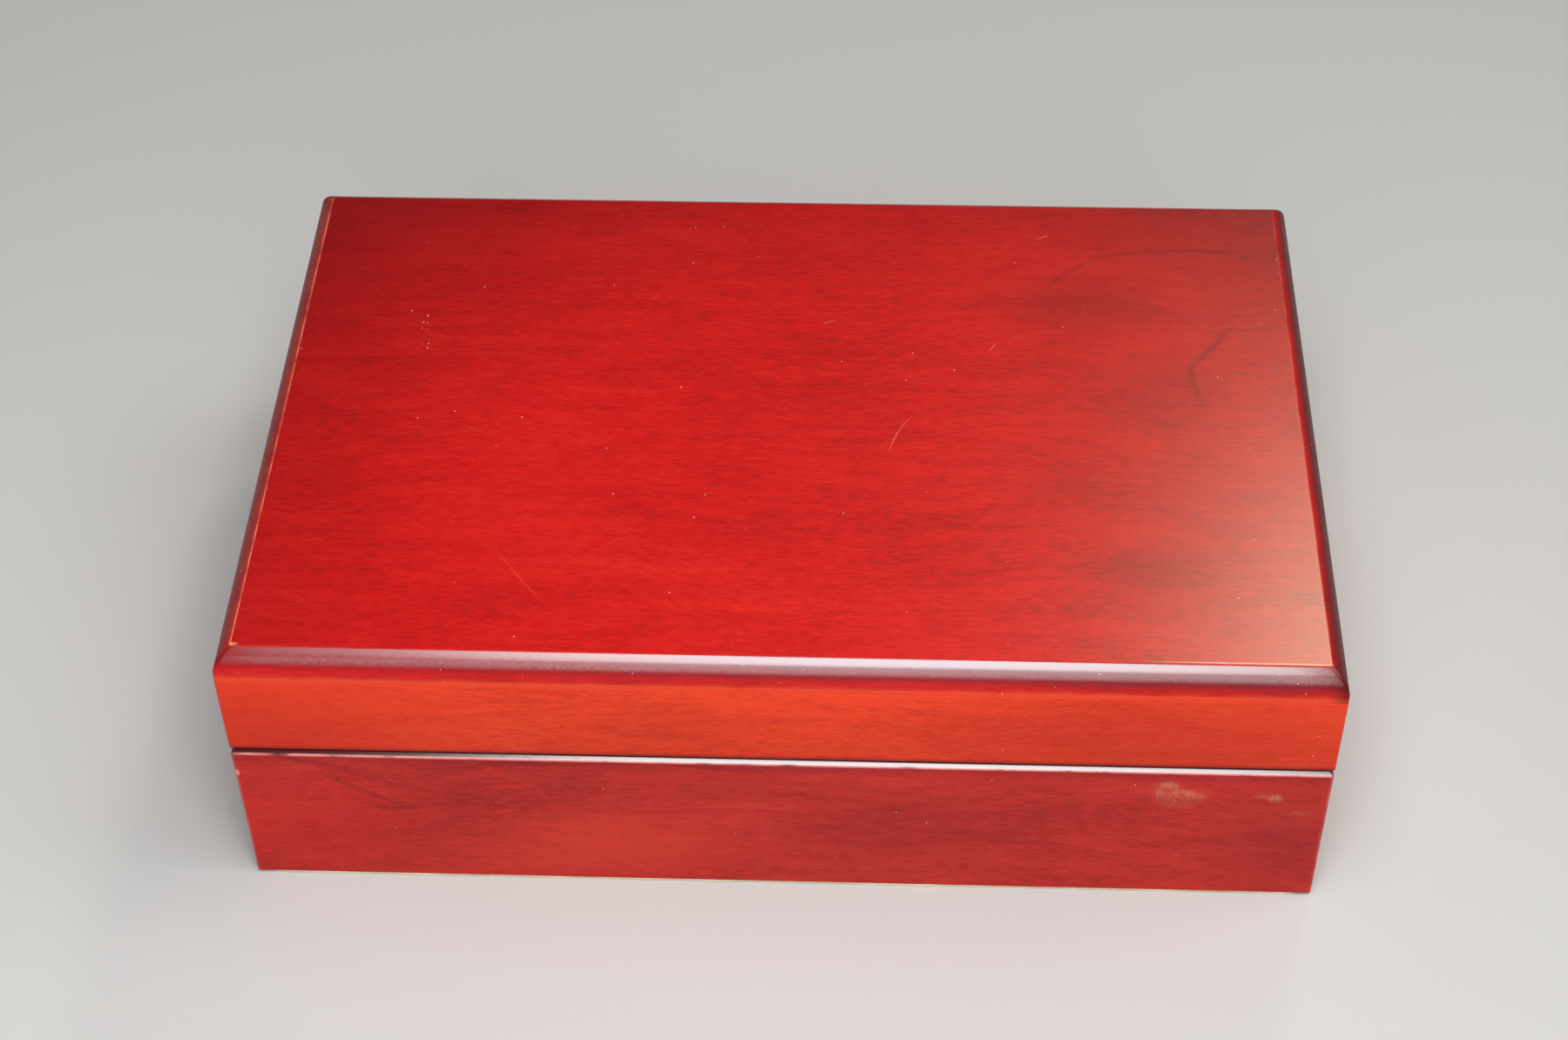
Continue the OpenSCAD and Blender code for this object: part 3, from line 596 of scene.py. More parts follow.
cherryLooks = {
    "cherryTop": {
        # its rubbed colour on the crease is a painted sheen, brightest along the left
        **topWood, "stain": paint(170, 4, 34), "wear": 0.8, "rubbed": paint(232, 122, 96),
        "sheen": {"coat": 0.9, "coatRoughness": 0.26, "coatIor": 1.65}, "tints": topFigureAndShade, "marks": topMarksAndHighlight},
    "cherryMould": {
        **topWood, "stain": paint(122, 8, 24), "wear": 0.3,
        "sheen": {"coat": 0.1, "edgeCoat": 1.0, "coatRoughness": 0.25, "coatIor": 1.95},
        "tints": mouldTints, "marks": mouldPaintedLightAndSpecks},
    "cherryLidBack": {
        **lidBoard, "deep": paint(160, 24, 10), "middle": paint(233, 62, 28), "bright": paint(246, 88, 46),
        "turn": 0, "shift": (1.6, 0.8, 0.3), "wear": 0.4},
    "cherryLidSide": {
        **lidBoard, "deep": paint(140, 18, 14), "middle": paint(208, 50, 32), "bright": paint(230, 72, 42),
        "turn": 90, "shift": (1.1, 0.5, 0.2), "wear": 0.5},
    # the rubbed colour is a painted highlight along the seam, and wear at the upright corners
    "cherryBaseBack": {
        **baseBoard, "deep": paint(108, 9, 12), "middle": paint(182, 39, 33), "bright": paint(208, 60, 43),
        "turn": 0, "shift": (1.9, 0.4, 0.7), "wear": 1.5, "rubbed": paint(208, 124, 116)},
    "cherryBaseSide": {
        **baseBoard, "deep": paint(112, 14, 16), "middle": paint(180, 40, 33), "bright": paint(208, 58, 42),
        "turn": 90, "shift": (0.4, 0.1, 0.8), "wear": 0.4},
}

# the front boards are cut from other parts of the tree, and have tints and marks of their own
cherryLooks["cherryLidFront"] = {
    **cherryLooks["cherryLidBack"], "shift": (0.7, 0.3, 0.1), "tints": lidShadeAndTints}
cherryLooks["cherryBaseFront"] = {
    **cherryLooks["cherryBaseBack"], "shift": (0.2, 0.9, 0.6), "tints": baseTints, "marks": frontMarks}


def layTints(tree, place, color, tints):
    # lays the colour of each tint over the wood, by its own mask
    for group, output, values, tint, strength in tints:
        mask = useGroup(tree, group, {"Vector": place, **values})[output]
        color = mixColor(tree, product(tree, mask, strength), color, tint)
    return color


def cutGrain(tree, place, look):
    # the grain of a board, from the place in the tree that it was cut from
    turn = (0.0, 0.0, math.radians(look["turn"]))
    cut = put(tree, "Mapping", {"Vector": place, "Rotation": turn, "Location": look["shift"]}).outputs[0]
    values = {"deep": look["deep"], "middle": look["middle"], "bright": look["bright"], **look["grain"]}
    sockets = {key.capitalize(): value for key, value in values.items()}
    return useGroup(tree, woodGrain, {"Vector": cut, **sockets})


def edgeGloss(tree, place, sheen):
    # the mesh's gloss value, made gritty where it lies between none and full, sets the weight of the lacquer
    gloss = attribute(tree, "gloss")
    grit = calc(tree, "SUBTRACT", noise(tree, place, lacquerLook["gritCells"], 2.0), 0.5)
    ends = product(tree, gloss, calc(tree, "SUBTRACT", 1.0, gloss))
    gloss = calc(tree, "ADD", gloss, product(tree, grit, lacquerLook["grit"], ends), clamp=True)
    return spread(tree, gloss, 0.0, 1.0, sheen["coat"], sheen["edgeCoat"])


def makeCherry(name, look):
    # stained wood under satin lacquer, rubbed along its edges, with dust and a few marks; some of its tints,
    # marks and rubbed edges are painted shade, sheen and highlights
    material, tree, place = newMaterial(name)
    sheen = look["sheen"]
    grain = cutGrain(tree, place, look)
    color = layTints(tree, place, grain["Color"], look["tints"])
    # the stain value darkens the moulding, and on the boards darkens the seam: painted shade in the gap
    # between lid and base, and a dark stain on the walls' chamfer
    color = mixColor(tree, attribute(tree, "stain"), color, look["stain"])
    # on the top's crease and the base's seam the rubbed colour is a painted sheen and highlight; elsewhere it
    # is wear
    wear = {"Vector": place, "Rim": attribute(tree, "rim"), "Amount": look["wear"]}
    worn = useGroup(tree, edgeWearAndSheen, wear)["Mask"]
    color = mixColor(tree, worn, color, look.get("rubbed", lacquerLook["rubbed"]))
    color = layTints(tree, place, color, look.get("marks", ()))
    dust = useGroup(tree, dustSpecks, {"Vector": place, **lacquerLook["specks"]})["Mask"]
    return finishMaterial(material, {
        "Base Color": mixColor(tree, dust, color, lacquerLook["dust"]),
        "Roughness": spread(tree, grain["Gloss"], 0.0, 1.0, *lacquerLook["roughness"]),
        "Specular IOR Level": lacquerLook["specular"],
        "Coat Weight": edgeGloss(tree, place, sheen) if "edgeCoat" in sheen else sheen["coat"],
        "Coat IOR": sheen["coatIor"],
        "Coat Roughness": sheen["coatRoughness"],
        "Normal": bump(tree, grain["Height"], lacquerLook["poreDepth"], lacquerLook["poreStrength"])})


# Other finishes

cedar = {
    "deep": paint(148, 92, 58), "middle": paint(196, 140, 96), "bright": paint(220, 172, 126),
    "grain": {"flecks": 0.7, "streaks": 0.9, "clouds": 0.5, "figure": 0.35},
    "wear": 0.4, "roughness": (0.62, 0.78), "pores": (0.12 * mm, 0.6)}
plainWoods = {
    "cedarAlong": {**cedar, "turn": 0, "shift": (0.3, 0.2, 0.5)},
    "cedarAcross": {**cedar, "turn": 90, "shift": (0.8, 0.6, 0.1)},
    "rawBoard": {
        "deep": paint(150, 112, 74), "middle": paint(194, 156, 110), "bright": paint(212, 180, 136),
        "grain": {"flecks": 0.6, "streaks": 0.7, "clouds": 0.6, "figure": 0.3},
        "wear": 0.0, "roughness": (0.7, 0.85), "pores": (0.1 * mm, 0.5), "turn": 0, "shift": (0.0, 0.0, 0.0)},
}


def makePlainWood(name, look):
    # raw sanded wood: straight grain with short dark pores and no gloss, paler along its edges
    material, tree, place = newMaterial(name)
    grain = cutGrain(tree, place, look)
    wear = {"Vector": place, "Rim": attribute(tree, "rim"), "Amount": look["wear"]}
    worn = useGroup(tree, edgeWearAndSheen, wear)["Mask"]
    return finishMaterial(material, {
        "Base Color": mixColor(tree, worn, grain["Color"], look["bright"]),
        "Roughness": spread(tree, grain["Gloss"], 0.0, 1.0, *look["roughness"]),
        "Normal": bump(tree, grain["Height"], *look["pores"])})


metalTexture = {"clouds": 180.0, "scratches": (160.0, 5200.0, 5200.0), "rougher": 0.08, "depth": 0.003 * mm}
metalLooks = {
    "brass": {"clean": paint(224, 188, 112), "dull": paint(200, 160, 90), "roughness": (0.2, 0.3)},
    "steel": {"clean": paint(204, 206, 210), "dull": paint(150, 152, 156), "roughness": (0.22, 0.4)},
    "copper": {"clean": paint(206, 132, 88), "dull": paint(150, 88, 56), "roughness": (0.25, 0.45)},
}


def makeMetal(name, look):
    # bright metal with a cloudy tarnish and fine scratches along x
    material, tree, place = newMaterial(name)
    clouds = noise(tree, place, metalTexture["clouds"], 4.0, 0.65)
    scratches = noise(tree, place, metalTexture["scratches"], 2.0)
    rough = spread(tree, clouds, 0.3, 0.7, *look["roughness"])
    rough = calc(tree, "ADD", rough, spread(tree, scratches, 0.4, 0.7, 0.0, metalTexture["rougher"]))
    return finishMaterial(material, {
        "Base Color": mixColor(tree, spread(tree, clouds, 0.35, 0.75), look["clean"], look["dull"]),
        "Metallic": 1.0,
        "Roughness": rough,
        "Normal": bump(tree, scratches, metalTexture["depth"], 0.5)})


# patches: noise values between which clean turns to aged, and dull those for the roughness;
# grit: cells, detail, depth and strength of the fine relief
enamel = {"cells": 260.0, "detail": 4.0, "patches": (0.35, 0.75), "dull": (0.3, 0.7),
          "roughness": (0.5, 0.62), "grit": (260.0, 4.0, 0.01 * mm, 0.3)}
mottledLooks = {
    "blackPlastic": {
        "clean": paint(24, 24, 26), "aged": paint(40, 40, 43), "cells": 70.0, "detail": 3.0,
        "patches": (0.35, 0.7), "dull": (0.3, 0.7), "roughness": (0.38, 0.5),
        "grit": (2600.0, 2.0, 0.04 * mm, 0.6)},
    "dialWhite": {**enamel, "clean": paint(240, 236, 224), "aged": paint(226, 219, 202)},
    "dialInk": {**enamel, "clean": paint(28, 28, 30), "aged": paint(44, 44, 46)},
    "comfortGreen": {**enamel, "clean": paint(70, 132, 84), "aged": paint(88, 146, 98)},
    "pointerBlack": {
        **enamel, "clean": paint(22, 22, 24), "aged": paint(36, 36, 38), "roughness": (0.35, 0.47)},
    "lensGlass": {
        "clean": paint(250, 252, 252), "aged": paint(240, 244, 244), "cells": 300.0, "detail": 3.0,
        "patches": (0.4, 0.7), "dull": (0.4, 0.8), "roughness": (0.01, 0.05),
        "glass": {"IOR": 1.49, "Transmission Weight": 1.0}},
}


def makeMottled(name, look):
    # a smooth finish that ages a little in soft patches: moulded plastic, printed enamel or dusty glass
    material, tree, place = newMaterial(name)
    haze = noise(tree, place, look["cells"], look["detail"])
    sockets = {
        "Base Color": mixColor(tree, spread(tree, haze, *look["patches"]), look["clean"], look["aged"]),
        "Roughness": spread(tree, haze, *look["dull"], *look["roughness"]),
        **look.get("glass", {})}
    if "grit" in look:
        cells, detail, depth, strength = look["grit"]
        sockets["Normal"] = bump(tree, noise(tree, place, cells, detail), depth, strength)
    return finishMaterial(material, sockets)


feltFinish = {"shade": paint(206, 190, 158), "pale": paint(236, 224, 196), "pit": paint(150, 134, 104),
              "shadeCells": 60.0, "napCells": 1800.0, "napDepth": 0.3 * mm, "roughness": (0.85, 1.0)}


def makeFelt(look):
    # matted fibres: fine noise for the nap, cloudy noise for its shade
    material, tree, place = newMaterial("felt")
    nap = noise(tree, place, look["napCells"], 3.0, 0.7)
    shade = noise(tree, place, look["shadeCells"], 3.0)
    color = mixColor(tree, spread(tree, shade, 0.3, 0.7), look["shade"], look["pale"])
    return finishMaterial(material, {
        "Base Color": mixColor(tree, spread(tree, nap, 0.3, 0.6, 0.35, 0.0), color, look["pit"]),
        "Roughness": spread(tree, nap, 0.3, 0.7, *look["roughness"]),
        "Normal": bump(tree, nap, look["napDepth"])})


foamFinish = {"shade": paint(96, 128, 84), "pale": paint(126, 156, 108), "pit": paint(42, 58, 36),
              "shadeCells": 120.0, "cells": 1100.0, "pitDepth": 0.3 * mm, "roughness": (0.85, 0.98)}


def makeFoam(look):
    # open cells: dark pits between pale walls, from the distance to the nearest cell edge
    material, tree, place = newMaterial("foam")
    cells = put(tree, "TexVoronoi", {"Vector": place, "Scale": look["cells"]}, feature="DISTANCE_TO_EDGE")
    shade = noise(tree, place, look["shadeCells"], 3.0)
    pit = spread(tree, cells.outputs[0], 0.02, 0.16)
    color = mixColor(tree, spread(tree, shade, 0.3, 0.7), look["shade"], look["pale"])
    return finishMaterial(material, {
        "Base Color": mixColor(tree, pit, color, look["pit"]),
        "Roughness": spread(tree, shade, 0.3, 0.7, *look["roughness"]),
        "Normal": bump(tree, calc(tree, "SUBTRACT", 1.0, pit), look["pitDepth"])})


makers = [
    (makeCherry, cherryLooks), (makePlainWood, plainWoods),
    (makeMetal, metalLooks), (makeMottled, mottledLooks)]
finish = {name: make(name, look) for make, looks in makers for name, look in looks.items()}
finish["felt"] = makeFelt(feltFinish)
finish["foam"] = makeFoam(foamFinish)
print("materials:", len(finish))

# Surface helpers


def unit(vectors):
    return vectors / np.linalg.norm(vectors, axis=-1, keepdims=True)


def gridQuads(rows, columns, closeRows):
    # cell (i, j) joins the four grid points round it; columns wrap, and rows do where they are closed
    i, j = np.meshgrid(np.arange(rows - (not closeRows)), np.arange(columns), indexing="ij")
    here = i * columns
    after = (i + 1) % rows * columns
    beside = (j + 1) % columns
    return np.stack([here + j, here + beside, after + beside, after + j], axis=-1).reshape(-1, 4)


def surfaceMesh(name, points, closeRows=False, caps=True, **layers):
    # a grid of points becomes quads; caps close the first and the last row with one face each, and every
    # layer is a value for each point, which the materials read
    rows, columns = points.shape[:2]
    faces = gridQuads(rows, columns, closeRows).tolist()
    if caps and not closeRows:
        faces.append(list(range(columns))[::-1])
        faces.append(list(range((rows - 1) * columns, rows * columns)))
    mesh = bpy.data.meshes.new(name)
    mesh.from_pydata(points.reshape(-1, 3).tolist(), [], faces)
    for title, values in layers.items():
        layer = mesh.attributes.new(title, "FLOAT", "POINT")
        layer.data.foreach_set("value", np.broadcast_to(values, points.shape[:2]).astype(np.float32).ravel())
    return mesh


def nodeMesh(name, node):
    # the triangles of a CAD node as a new mesh
    source = frame["nodes"][node].data
    spots = np.empty(3 * len(source.vertices), np.float32)
    source.vertices.foreach_get("co", spots)
    corners = np.empty(len(source.loops), np.int32)
    source.loops.foreach_get("vertex_index", corners)
    mesh = bpy.data.meshes.new(name)
    mesh.from_pydata(spots.reshape(-1, 3).tolist(), [], corners.reshape(-1, 3).tolist())
    return mesh


def addPiece(mesh, body, finishName, nodes=(), weld=1e-7, sharp=34):
    # merges doubles, turns the faces outwards, shades them and hangs the piece on its body
    work = bmesh.new()
    work.from_mesh(mesh)
    bmesh.ops.remove_doubles(work, verts=work.verts, dist=weld)
    bmesh.ops.recalc_face_normals(work, faces=work.faces)
    work.to_mesh(mesh)
    work.free()
    mesh.polygons.foreach_set("use_smooth", np.ones(len(mesh.polygons), bool))
    mesh.set_sharp_from_angle(angle=math.radians(sharp))
    mesh.materials.append(finish[finishName])
    piece = bpy.data.objects.new(mesh.name, mesh)
    scene.collection.objects.link(piece)
    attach(piece, body)
    if nodes:
        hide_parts(*nodes)
    return piece


softLook = {
    "weld": 0.001 * mm,  # points this close are one
    "segments": 2,
    "sharper": 40,  # degrees between its faces from which an edge is rounded
}


def softenedCopy(name, node, body, finishName, width):
    # a merged copy of a CAD solid, with its sharp edges rounded over
    piece = addPiece(nodeMesh(name, node), body, finishName, [node], softLook["weld"])
    bevel = piece.modifiers.new("softEdge", "BEVEL")
    bevel.width = width
    bevel.segments = softLook["segments"]
    bevel.limit_method = "ANGLE"
    bevel.angle_limit = math.radians(softLook["sharper"])
    bevel.use_clamp_overlap = False
    bevel.harden_normals = True


def roundedLoop(corners, radii, run, steps=5):
    # each corner of a closed outline becomes an arc that touches its two edges, with a short flat run on
    # either side, up to a quarter of its shorter edge; the rim value is 1 on the arcs and 0 at the runs' ends
    corners = np.asarray(corners, float)
    radii = np.asarray(radii, float)[:, None]
    toLast = np.roll(corners, 1, axis=0) - corners
    toNext = np.roll(corners, -1, axis=0) - corners
    shortest = np.minimum(np.linalg.norm(toLast, axis=1), np.linalg.norm(toNext, axis=1))[:, None]
    toLast = unit(toLast)
    toNext = unit(toNext)
    half = np.arccos(np.clip((toLast * toNext).sum(1, keepdims=True), -1, 1)) / 2
    inward = unit(toLast + toNext)
    across = unit(toNext - toLast)
    centre = corners + inward * radii / np.sin(half)
    turn = np.linspace(-1, 1, steps) * (np.pi / 2 - half)
    arm = across[:, None] * np.sin(turn)[..., None] - inward[:, None] * np.cos(turn)[..., None]
    arcs = centre[:, None] + radii[:, None] * arm
    reach = radii / np.tan(half) + np.minimum(run, shortest / 4)
    before = (corners + toLast * reach)[:, None]
    after = (corners + toNext * reach)[:, None]
    loop = np.concatenate([before, arcs, after], axis=1).reshape(-1, 2)
    rim = np.tile(np.r_[0, np.ones(steps), 0], len(corners)) * np.repeat(radii[:, 0] > 0, steps + 2)
    return loop, rim


def rectRings(half, inset, height, radius, centre=(0.0, 0.0), steps=5, run=0.5 * mm, sidePoints=0):
    # one rounded rectangle for each inset and height: four corner arcs of the radius, joined by straight
    # sides that start and end with a short run and may be cut into more points
    inset, height, radius = np.broadcast_arrays(*np.atleast_1d(inset, height, radius))
    quarter = np.arange(4)[:, None] * np.pi / 2
    angle = quarter + np.r_[0, np.linspace(0, np.pi / 2, steps), np.pi / 2]
    slide = np.r_[-run, np.zeros(steps), run]
    signX = np.array([1, -1, -1, 1])[:, None]
    signY = np.array([1, 1, -1, -1])[:, None]
    armX = (half[0] - inset - radius)[:, None, None]
    armY = (half[1] - inset - radius)[:, None, None]
    curve = radius[:, None, None]
    x = centre[0] + signX * armX + curve * np.cos(angle) - slide * np.sin(angle)
    y = centre[1] + signY * armY + curve * np.sin(angle) + slide * np.cos(angle)
    spots = np.stack([x, y], axis=-1)
    if sidePoints:
        share = (np.arange(1, sidePoints + 1) / (sidePoints + 1))[:, None]
        first = spots[:, :, -1:]
        last = np.roll(spots, -1, axis=1)[:, :, :1]
        spots = np.concatenate([spots, first + (last - first) * share], axis=2)
    spots = spots.reshape(len(inset), -1, 2)
    up = np.broadcast_to(height[:, None, None], spots.shape[:2] + (1,))
    return np.concatenate([spots, up], axis=-1)


def circleRings(like, centre, radius, height):
    # rings on a circle, each point in the same direction from the centre as in the ring that they are like
    angle = np.arctan2(like[:, 1] - centre[1], like[:, 0] - centre[0])
    radius, height = np.broadcast_arrays(*np.atleast_1d(radius, height))
    x = centre[0] + radius[:, None] * np.cos(angle)
    y = centre[1] + radius[:, None] * np.sin(angle)
    return np.stack([x, y, np.broadcast_to(height[:, None], x.shape)], axis=-1)


def latheRings(profile, centre, count=96):
    # a profile of radius and height, carried round an upright axis
    profile = np.asarray(profile, float)
    angle = np.arange(count) / count * 2 * np.pi
    x = centre[0] + profile[:, :1] * np.cos(angle)
    y = centre[1] + profile[:, :1] * np.sin(angle)
    return np.stack([x, y, np.broadcast_to(profile[:, 1:], x.shape)], axis=-1)


def boardRows(loop, rim, length, ease, run, sections=(), endWear=1.0, steps=5):
    # sections of a mitred board along x: at depth d its end lies at x = L/2 - d, and outside the ease
    # radius e the corner turns through t, half a right angle: x = L/2 - e + (e - d) sin t and
    # depth = e - (e - d) cos t; between the ends come the given sections, each an x and an outline
    depth, height = loop.T
    inner = np.maximum(depth, ease)
    outer = np.maximum(ease - depth, 0)
    turn = np.linspace(0, np.pi / 4, steps)[:, None]
    endX = length / 2 - inner + outer * np.sin(turn)
    endDepth = inner - outer * np.cos(turn)
    endX = np.vstack([endX[:1] - run, endX])
    endDepth = np.vstack([endDepth[:1], endDepth])
    endRim = np.vstack([rim[None], np.broadcast_to(np.where(outer > 0, endWear, rim), (steps, len(rim)))])
    ends = np.stack([endX, endDepth, np.broadcast_to(height, endX.shape)], axis=-1)
    middle = [np.column_stack([np.full(len(shape), x), shape])[None] for x, shape in sections]
    rows = np.concatenate([(ends * (-1, 1, 1))[::-1], *middle, ends])
    rims = np.concatenate([endRim[::-1], *[rim[None]] * len(middle), endRim])
    return rows, rims


def onSide(points, side, reach):
    # a board made for the front, at depth 0 on its outer face, goes out to its side and turns with it
    x, y = points[..., 0], points[..., 1] - reach
    cosine, sine = [(1, 0), (0, 1), (-1, 0), (0, -1)][side]
    return np.stack([cosine * x - sine * y, sine * x + cosine * y, points[..., 2]], axis=-1)


def addSlab(name, node, body, finishName, ease, corner=0.3 * mm, flat=3, steps=4):
    # a sheet or block with its edges rounded over by the ease, as rounded rectangles from below to above; its
    # first and last rings lie on the faces, a few eases in
    low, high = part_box(node)
    half = ((high.x - low.x) / 2, (high.y - low.y) / 2)
    centre = ((high.x + low.x) / 2, (high.y + low.y) / 2)
    turn = np.linspace(0, np.pi / 2, steps)
    inset = ease * np.concatenate([[flat], 1 - np.sin(turn), 1 - np.cos(turn), [flat]])
    height = np.concatenate([
        [low.z], low.z + ease * (1 - np.cos(turn)), high.z - ease * (1 - np.sin(turn)), [high.z]])
    rings = rectRings(half, inset, height, corner, centre)
    return addPiece(surfaceMesh(name, rings), body, finishName, [node])


# Lid top: a flat panel whose edge turns down through a small radius and then a large one

topLook = {
    "round": 7 * mm,  # main radius of the moulding
    "brow": 1.2 * mm,  # radius that joins it to the flat
    "browAngle": 26,  # degrees that the small radius turns through
    "steps": (7, 18, 5),  # rows on the small radius, the large one and the lower edge
    "ease": 0.8 * mm,  # rounding of the mitred corners
    "lowerEase": 0.08 * mm,  # rounding of the lower edge
    "lowerFlat": 0.24 * mm,  # height where the upright part above it starts
    "flatInset": 24 * mm,  # inner ring of the flat
    "creaseInset": 0.3 * mm,  # and the ring beside the crease
    "underInset": 2 * mm,  # ring on the underside
    "recessTop": 77.15 * mm,  # roof of the hygrometer's recess
    "sidePoints": 31,  # along each side
    "stain": 0.9,  # how much darker the moulding is stained
    "stainTilt": (8, 24, 62, 78),  # degrees between which it comes and goes
    "leftStainTilt": (8, 24, 54, 74),
    "rightStainTilt": (27, 42, 66, 78),
    "glossTilt": (40, 74),  # degrees between which the thick lacquer ends
    "leftGlossTilt": (24, 66),
    "leftEnd": (-100 * mm, 10 * mm),  # the left's values turn into the others between these
    "leftGloss": 0.5,  # share of it along the left
    "rightGloss": 0.2,  # and along the right
    "cornerGloss": 0.4,  # and at the mitres
    "creaseSheenTilt": (0, 6, 26, 50),  # degrees over which the crease has a painted sheen
    "frontCreaseSheen": 0.1,  # painted sheen of the crease along the front and the back, against the left
    "rightCreaseSheen": 0.3,  # and along the right
    "lowerRim": (0.5, 1.0, 1.0),  # wear of the last rows above the lower edge
}


def topProfile(look):
    # inset, height and tilt of the rows, from the flat outwards, over the edge and back underneath: at
    # tilt t a radius r reaches r sin t further out than its centre and r cos t above it
    brow = math.radians(look["browAngle"])
    browInset = look["round"] - (look["round"] - look["brow"]) * math.sin(brow)
    roundZ = topHigh.z - look["brow"] - (look["round"] - look["brow"]) * math.cos(brow)
    browSteps, roundSteps, lowerSteps = look["steps"]
    small = np.linspace(0, brow, browSteps)
    large = np.linspace(brow, np.pi / 2, roundSteps + 1)[1:]
    lower = np.linspace(0, np.pi / 2, lowerSteps)
    inset = np.concatenate([
        [look["flatInset"], browInset + look["creaseInset"]],
        browInset - look["brow"] * np.sin(small),
        look["round"] * (1 - np.sin(large)),
        [0.0],
        look["lowerEase"] * (1 - np.cos(lower)),
        [look["underInset"]]])
    height = np.concatenate([
        [topHigh.z, topHigh.z],
        topHigh.z - look["brow"] * (1 - np.cos(small)),
        roundZ + look["round"] * np.cos(large),
        [topLow.z + look["lowerFlat"]],
        topLow.z + look["lowerEase"] * (1 - np.sin(lower)),
        [topLow.z]])
    tilt = np.concatenate([[0, 0], small, large, np.full(lowerSteps + 2, np.pi / 2)])
    return inset, height, np.degrees(tilt)


def addTopPanel(look):
    # a rounded rectangle for each row of the profile, closed underneath by the hygrometer's round recess
    inset, height, tilt = topProfile(look)
    browSteps, roundSteps = look["steps"][:2]
    rings = rectRings(boxHalf, inset, height, look["ease"], sidePoints=look["sidePoints"])
    recess = circleRings(rings[-1], gauge, gaugeBore, [topLow.z, look["recessTop"]])
    points = np.concatenate([rings, recess])
    # values by row: painted sheen of the crease, wear of the lower edge, stain, and thickness of the lacquer
    crease = np.interp(tilt, look["creaseSheenTilt"], [0, 1, 1, 0])
    edgeRow = 2 + browSteps + roundSteps
    lower = np.zeros(len(tilt))
    lower[edgeRow - len(look["lowerRim"]):edgeRow] = look["lowerRim"]
    stains = [np.interp(tilt, look[key], [0, look["stain"], look["stain"], 0])
              for key in ("stainTilt", "leftStainTilt", "rightStainTilt")]
    glosses = [np.interp(tilt, look[key], [1, 0]) for key in ("glossTilt", "leftGlossTilt")]
    byRow = np.pad(np.stack([crease, lower, *stains, *glosses]), ((0, 0), (0, len(recess))))
    crease, lower, stain, leftStain, rightStain, gloss, leftGloss = byRow[..., None]
    # and how they change round the panel
    left = np.interp(points[..., 0], look["leftEnd"], [1, 0])
    beside = np.abs(points[..., 0]) - boxHalf[0] > np.abs(points[..., 1]) - boxHalf[1]
    right = beside & (points[..., 0] > 0)
    quarter = points.shape[1] // 4
    corner = np.arange(points.shape[1]) % quarter < quarter - look["sidePoints"]
    share = np.where(beside, np.where(right, look["rightCreaseSheen"], 1.0), look["frontCreaseSheen"])
    stain = np.where(right, rightStain, stain + left * (leftStain - stain))
    shine = np.where(beside, np.where(right, look["rightGloss"], look["leftGloss"]), 1.0)
    shine = shine * np.where(corner, look["cornerGloss"], 1.0)
    gloss = shine * (gloss + left * (leftGloss - gloss))
    mesh = surfaceMesh("top_panel", points, rim=np.maximum(crease * share, lower), stain=stain, gloss=gloss)
    # the moulding's finish starts at the last faces of the small radius
    moulded = np.repeat(np.arange(len(points) - 1) >= browSteps, points.shape[1])
    mesh.polygons.foreach_set("material_index", np.append(moulded, [False, True]))
    piece = addPiece(mesh, "lid", "cherryTop", ["lid_top_panel"], sharp=50)
    piece.data.materials.append(finish["cherryMould"])


addTopPanel(topLook)
print("lid top done")

# Base walls and lid rails

boardLook = {
    "chamfer": 1.12 * mm,  # into the boards at the seam
    "chamferDrop": 0.76 * mm,  # along the walls' faces
    "chamferRound": 0.5 * mm,  # where the walls' chamfer meets its face
    "ease": 0.5 * mm,  # upright corners
    "edge": 0.25 * mm,  # other edges
    "topEdge": 0.075 * mm,  # the rails' edge under the moulding
    "run": 0.2 * mm,  # flat beside a rounded edge
    "stainFade": 0.4 * mm,  # from the seam's dark stain and painted shade to the face
    "glossDepth": 1.232 * mm,  # thick lacquer on the walls' chamfer
    "seamGlintDepth": 0.56 * mm,  # the walls' painted highlight along the seam's lower edge, into the boards
    "seamGlintDrop": 1.52 * mm,  # and along their faces
    "cornerWear": 0.3,  # of the upright corners
    "sections": 9,  # along a plain board
    "sectionSpan": 0.9,  # share of its length that they take
    "dullEnd": (-115 * mm, -30 * mm),  # the front seam's lacquer grows between these
    "dullGloss": 0.15,  # from this share
    "leafThick": 1.2 * mm,  # of the hinges
    "leafGap": 0.1 * mm,  # between a leaf and the hinge's axis
    "mortiseRoom": 0.1 * mm,  # round a leaf
    "mortiseDepth": 7.1 * mm,
    "mortiseStep": 0.001 * mm,  # half the width of the mortise's inner edge
}

wallThick = wallHigh.y - wallLow.y
leafSpans = [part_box("hinge_base_leaf_" + end) for end in ("left", "right")]


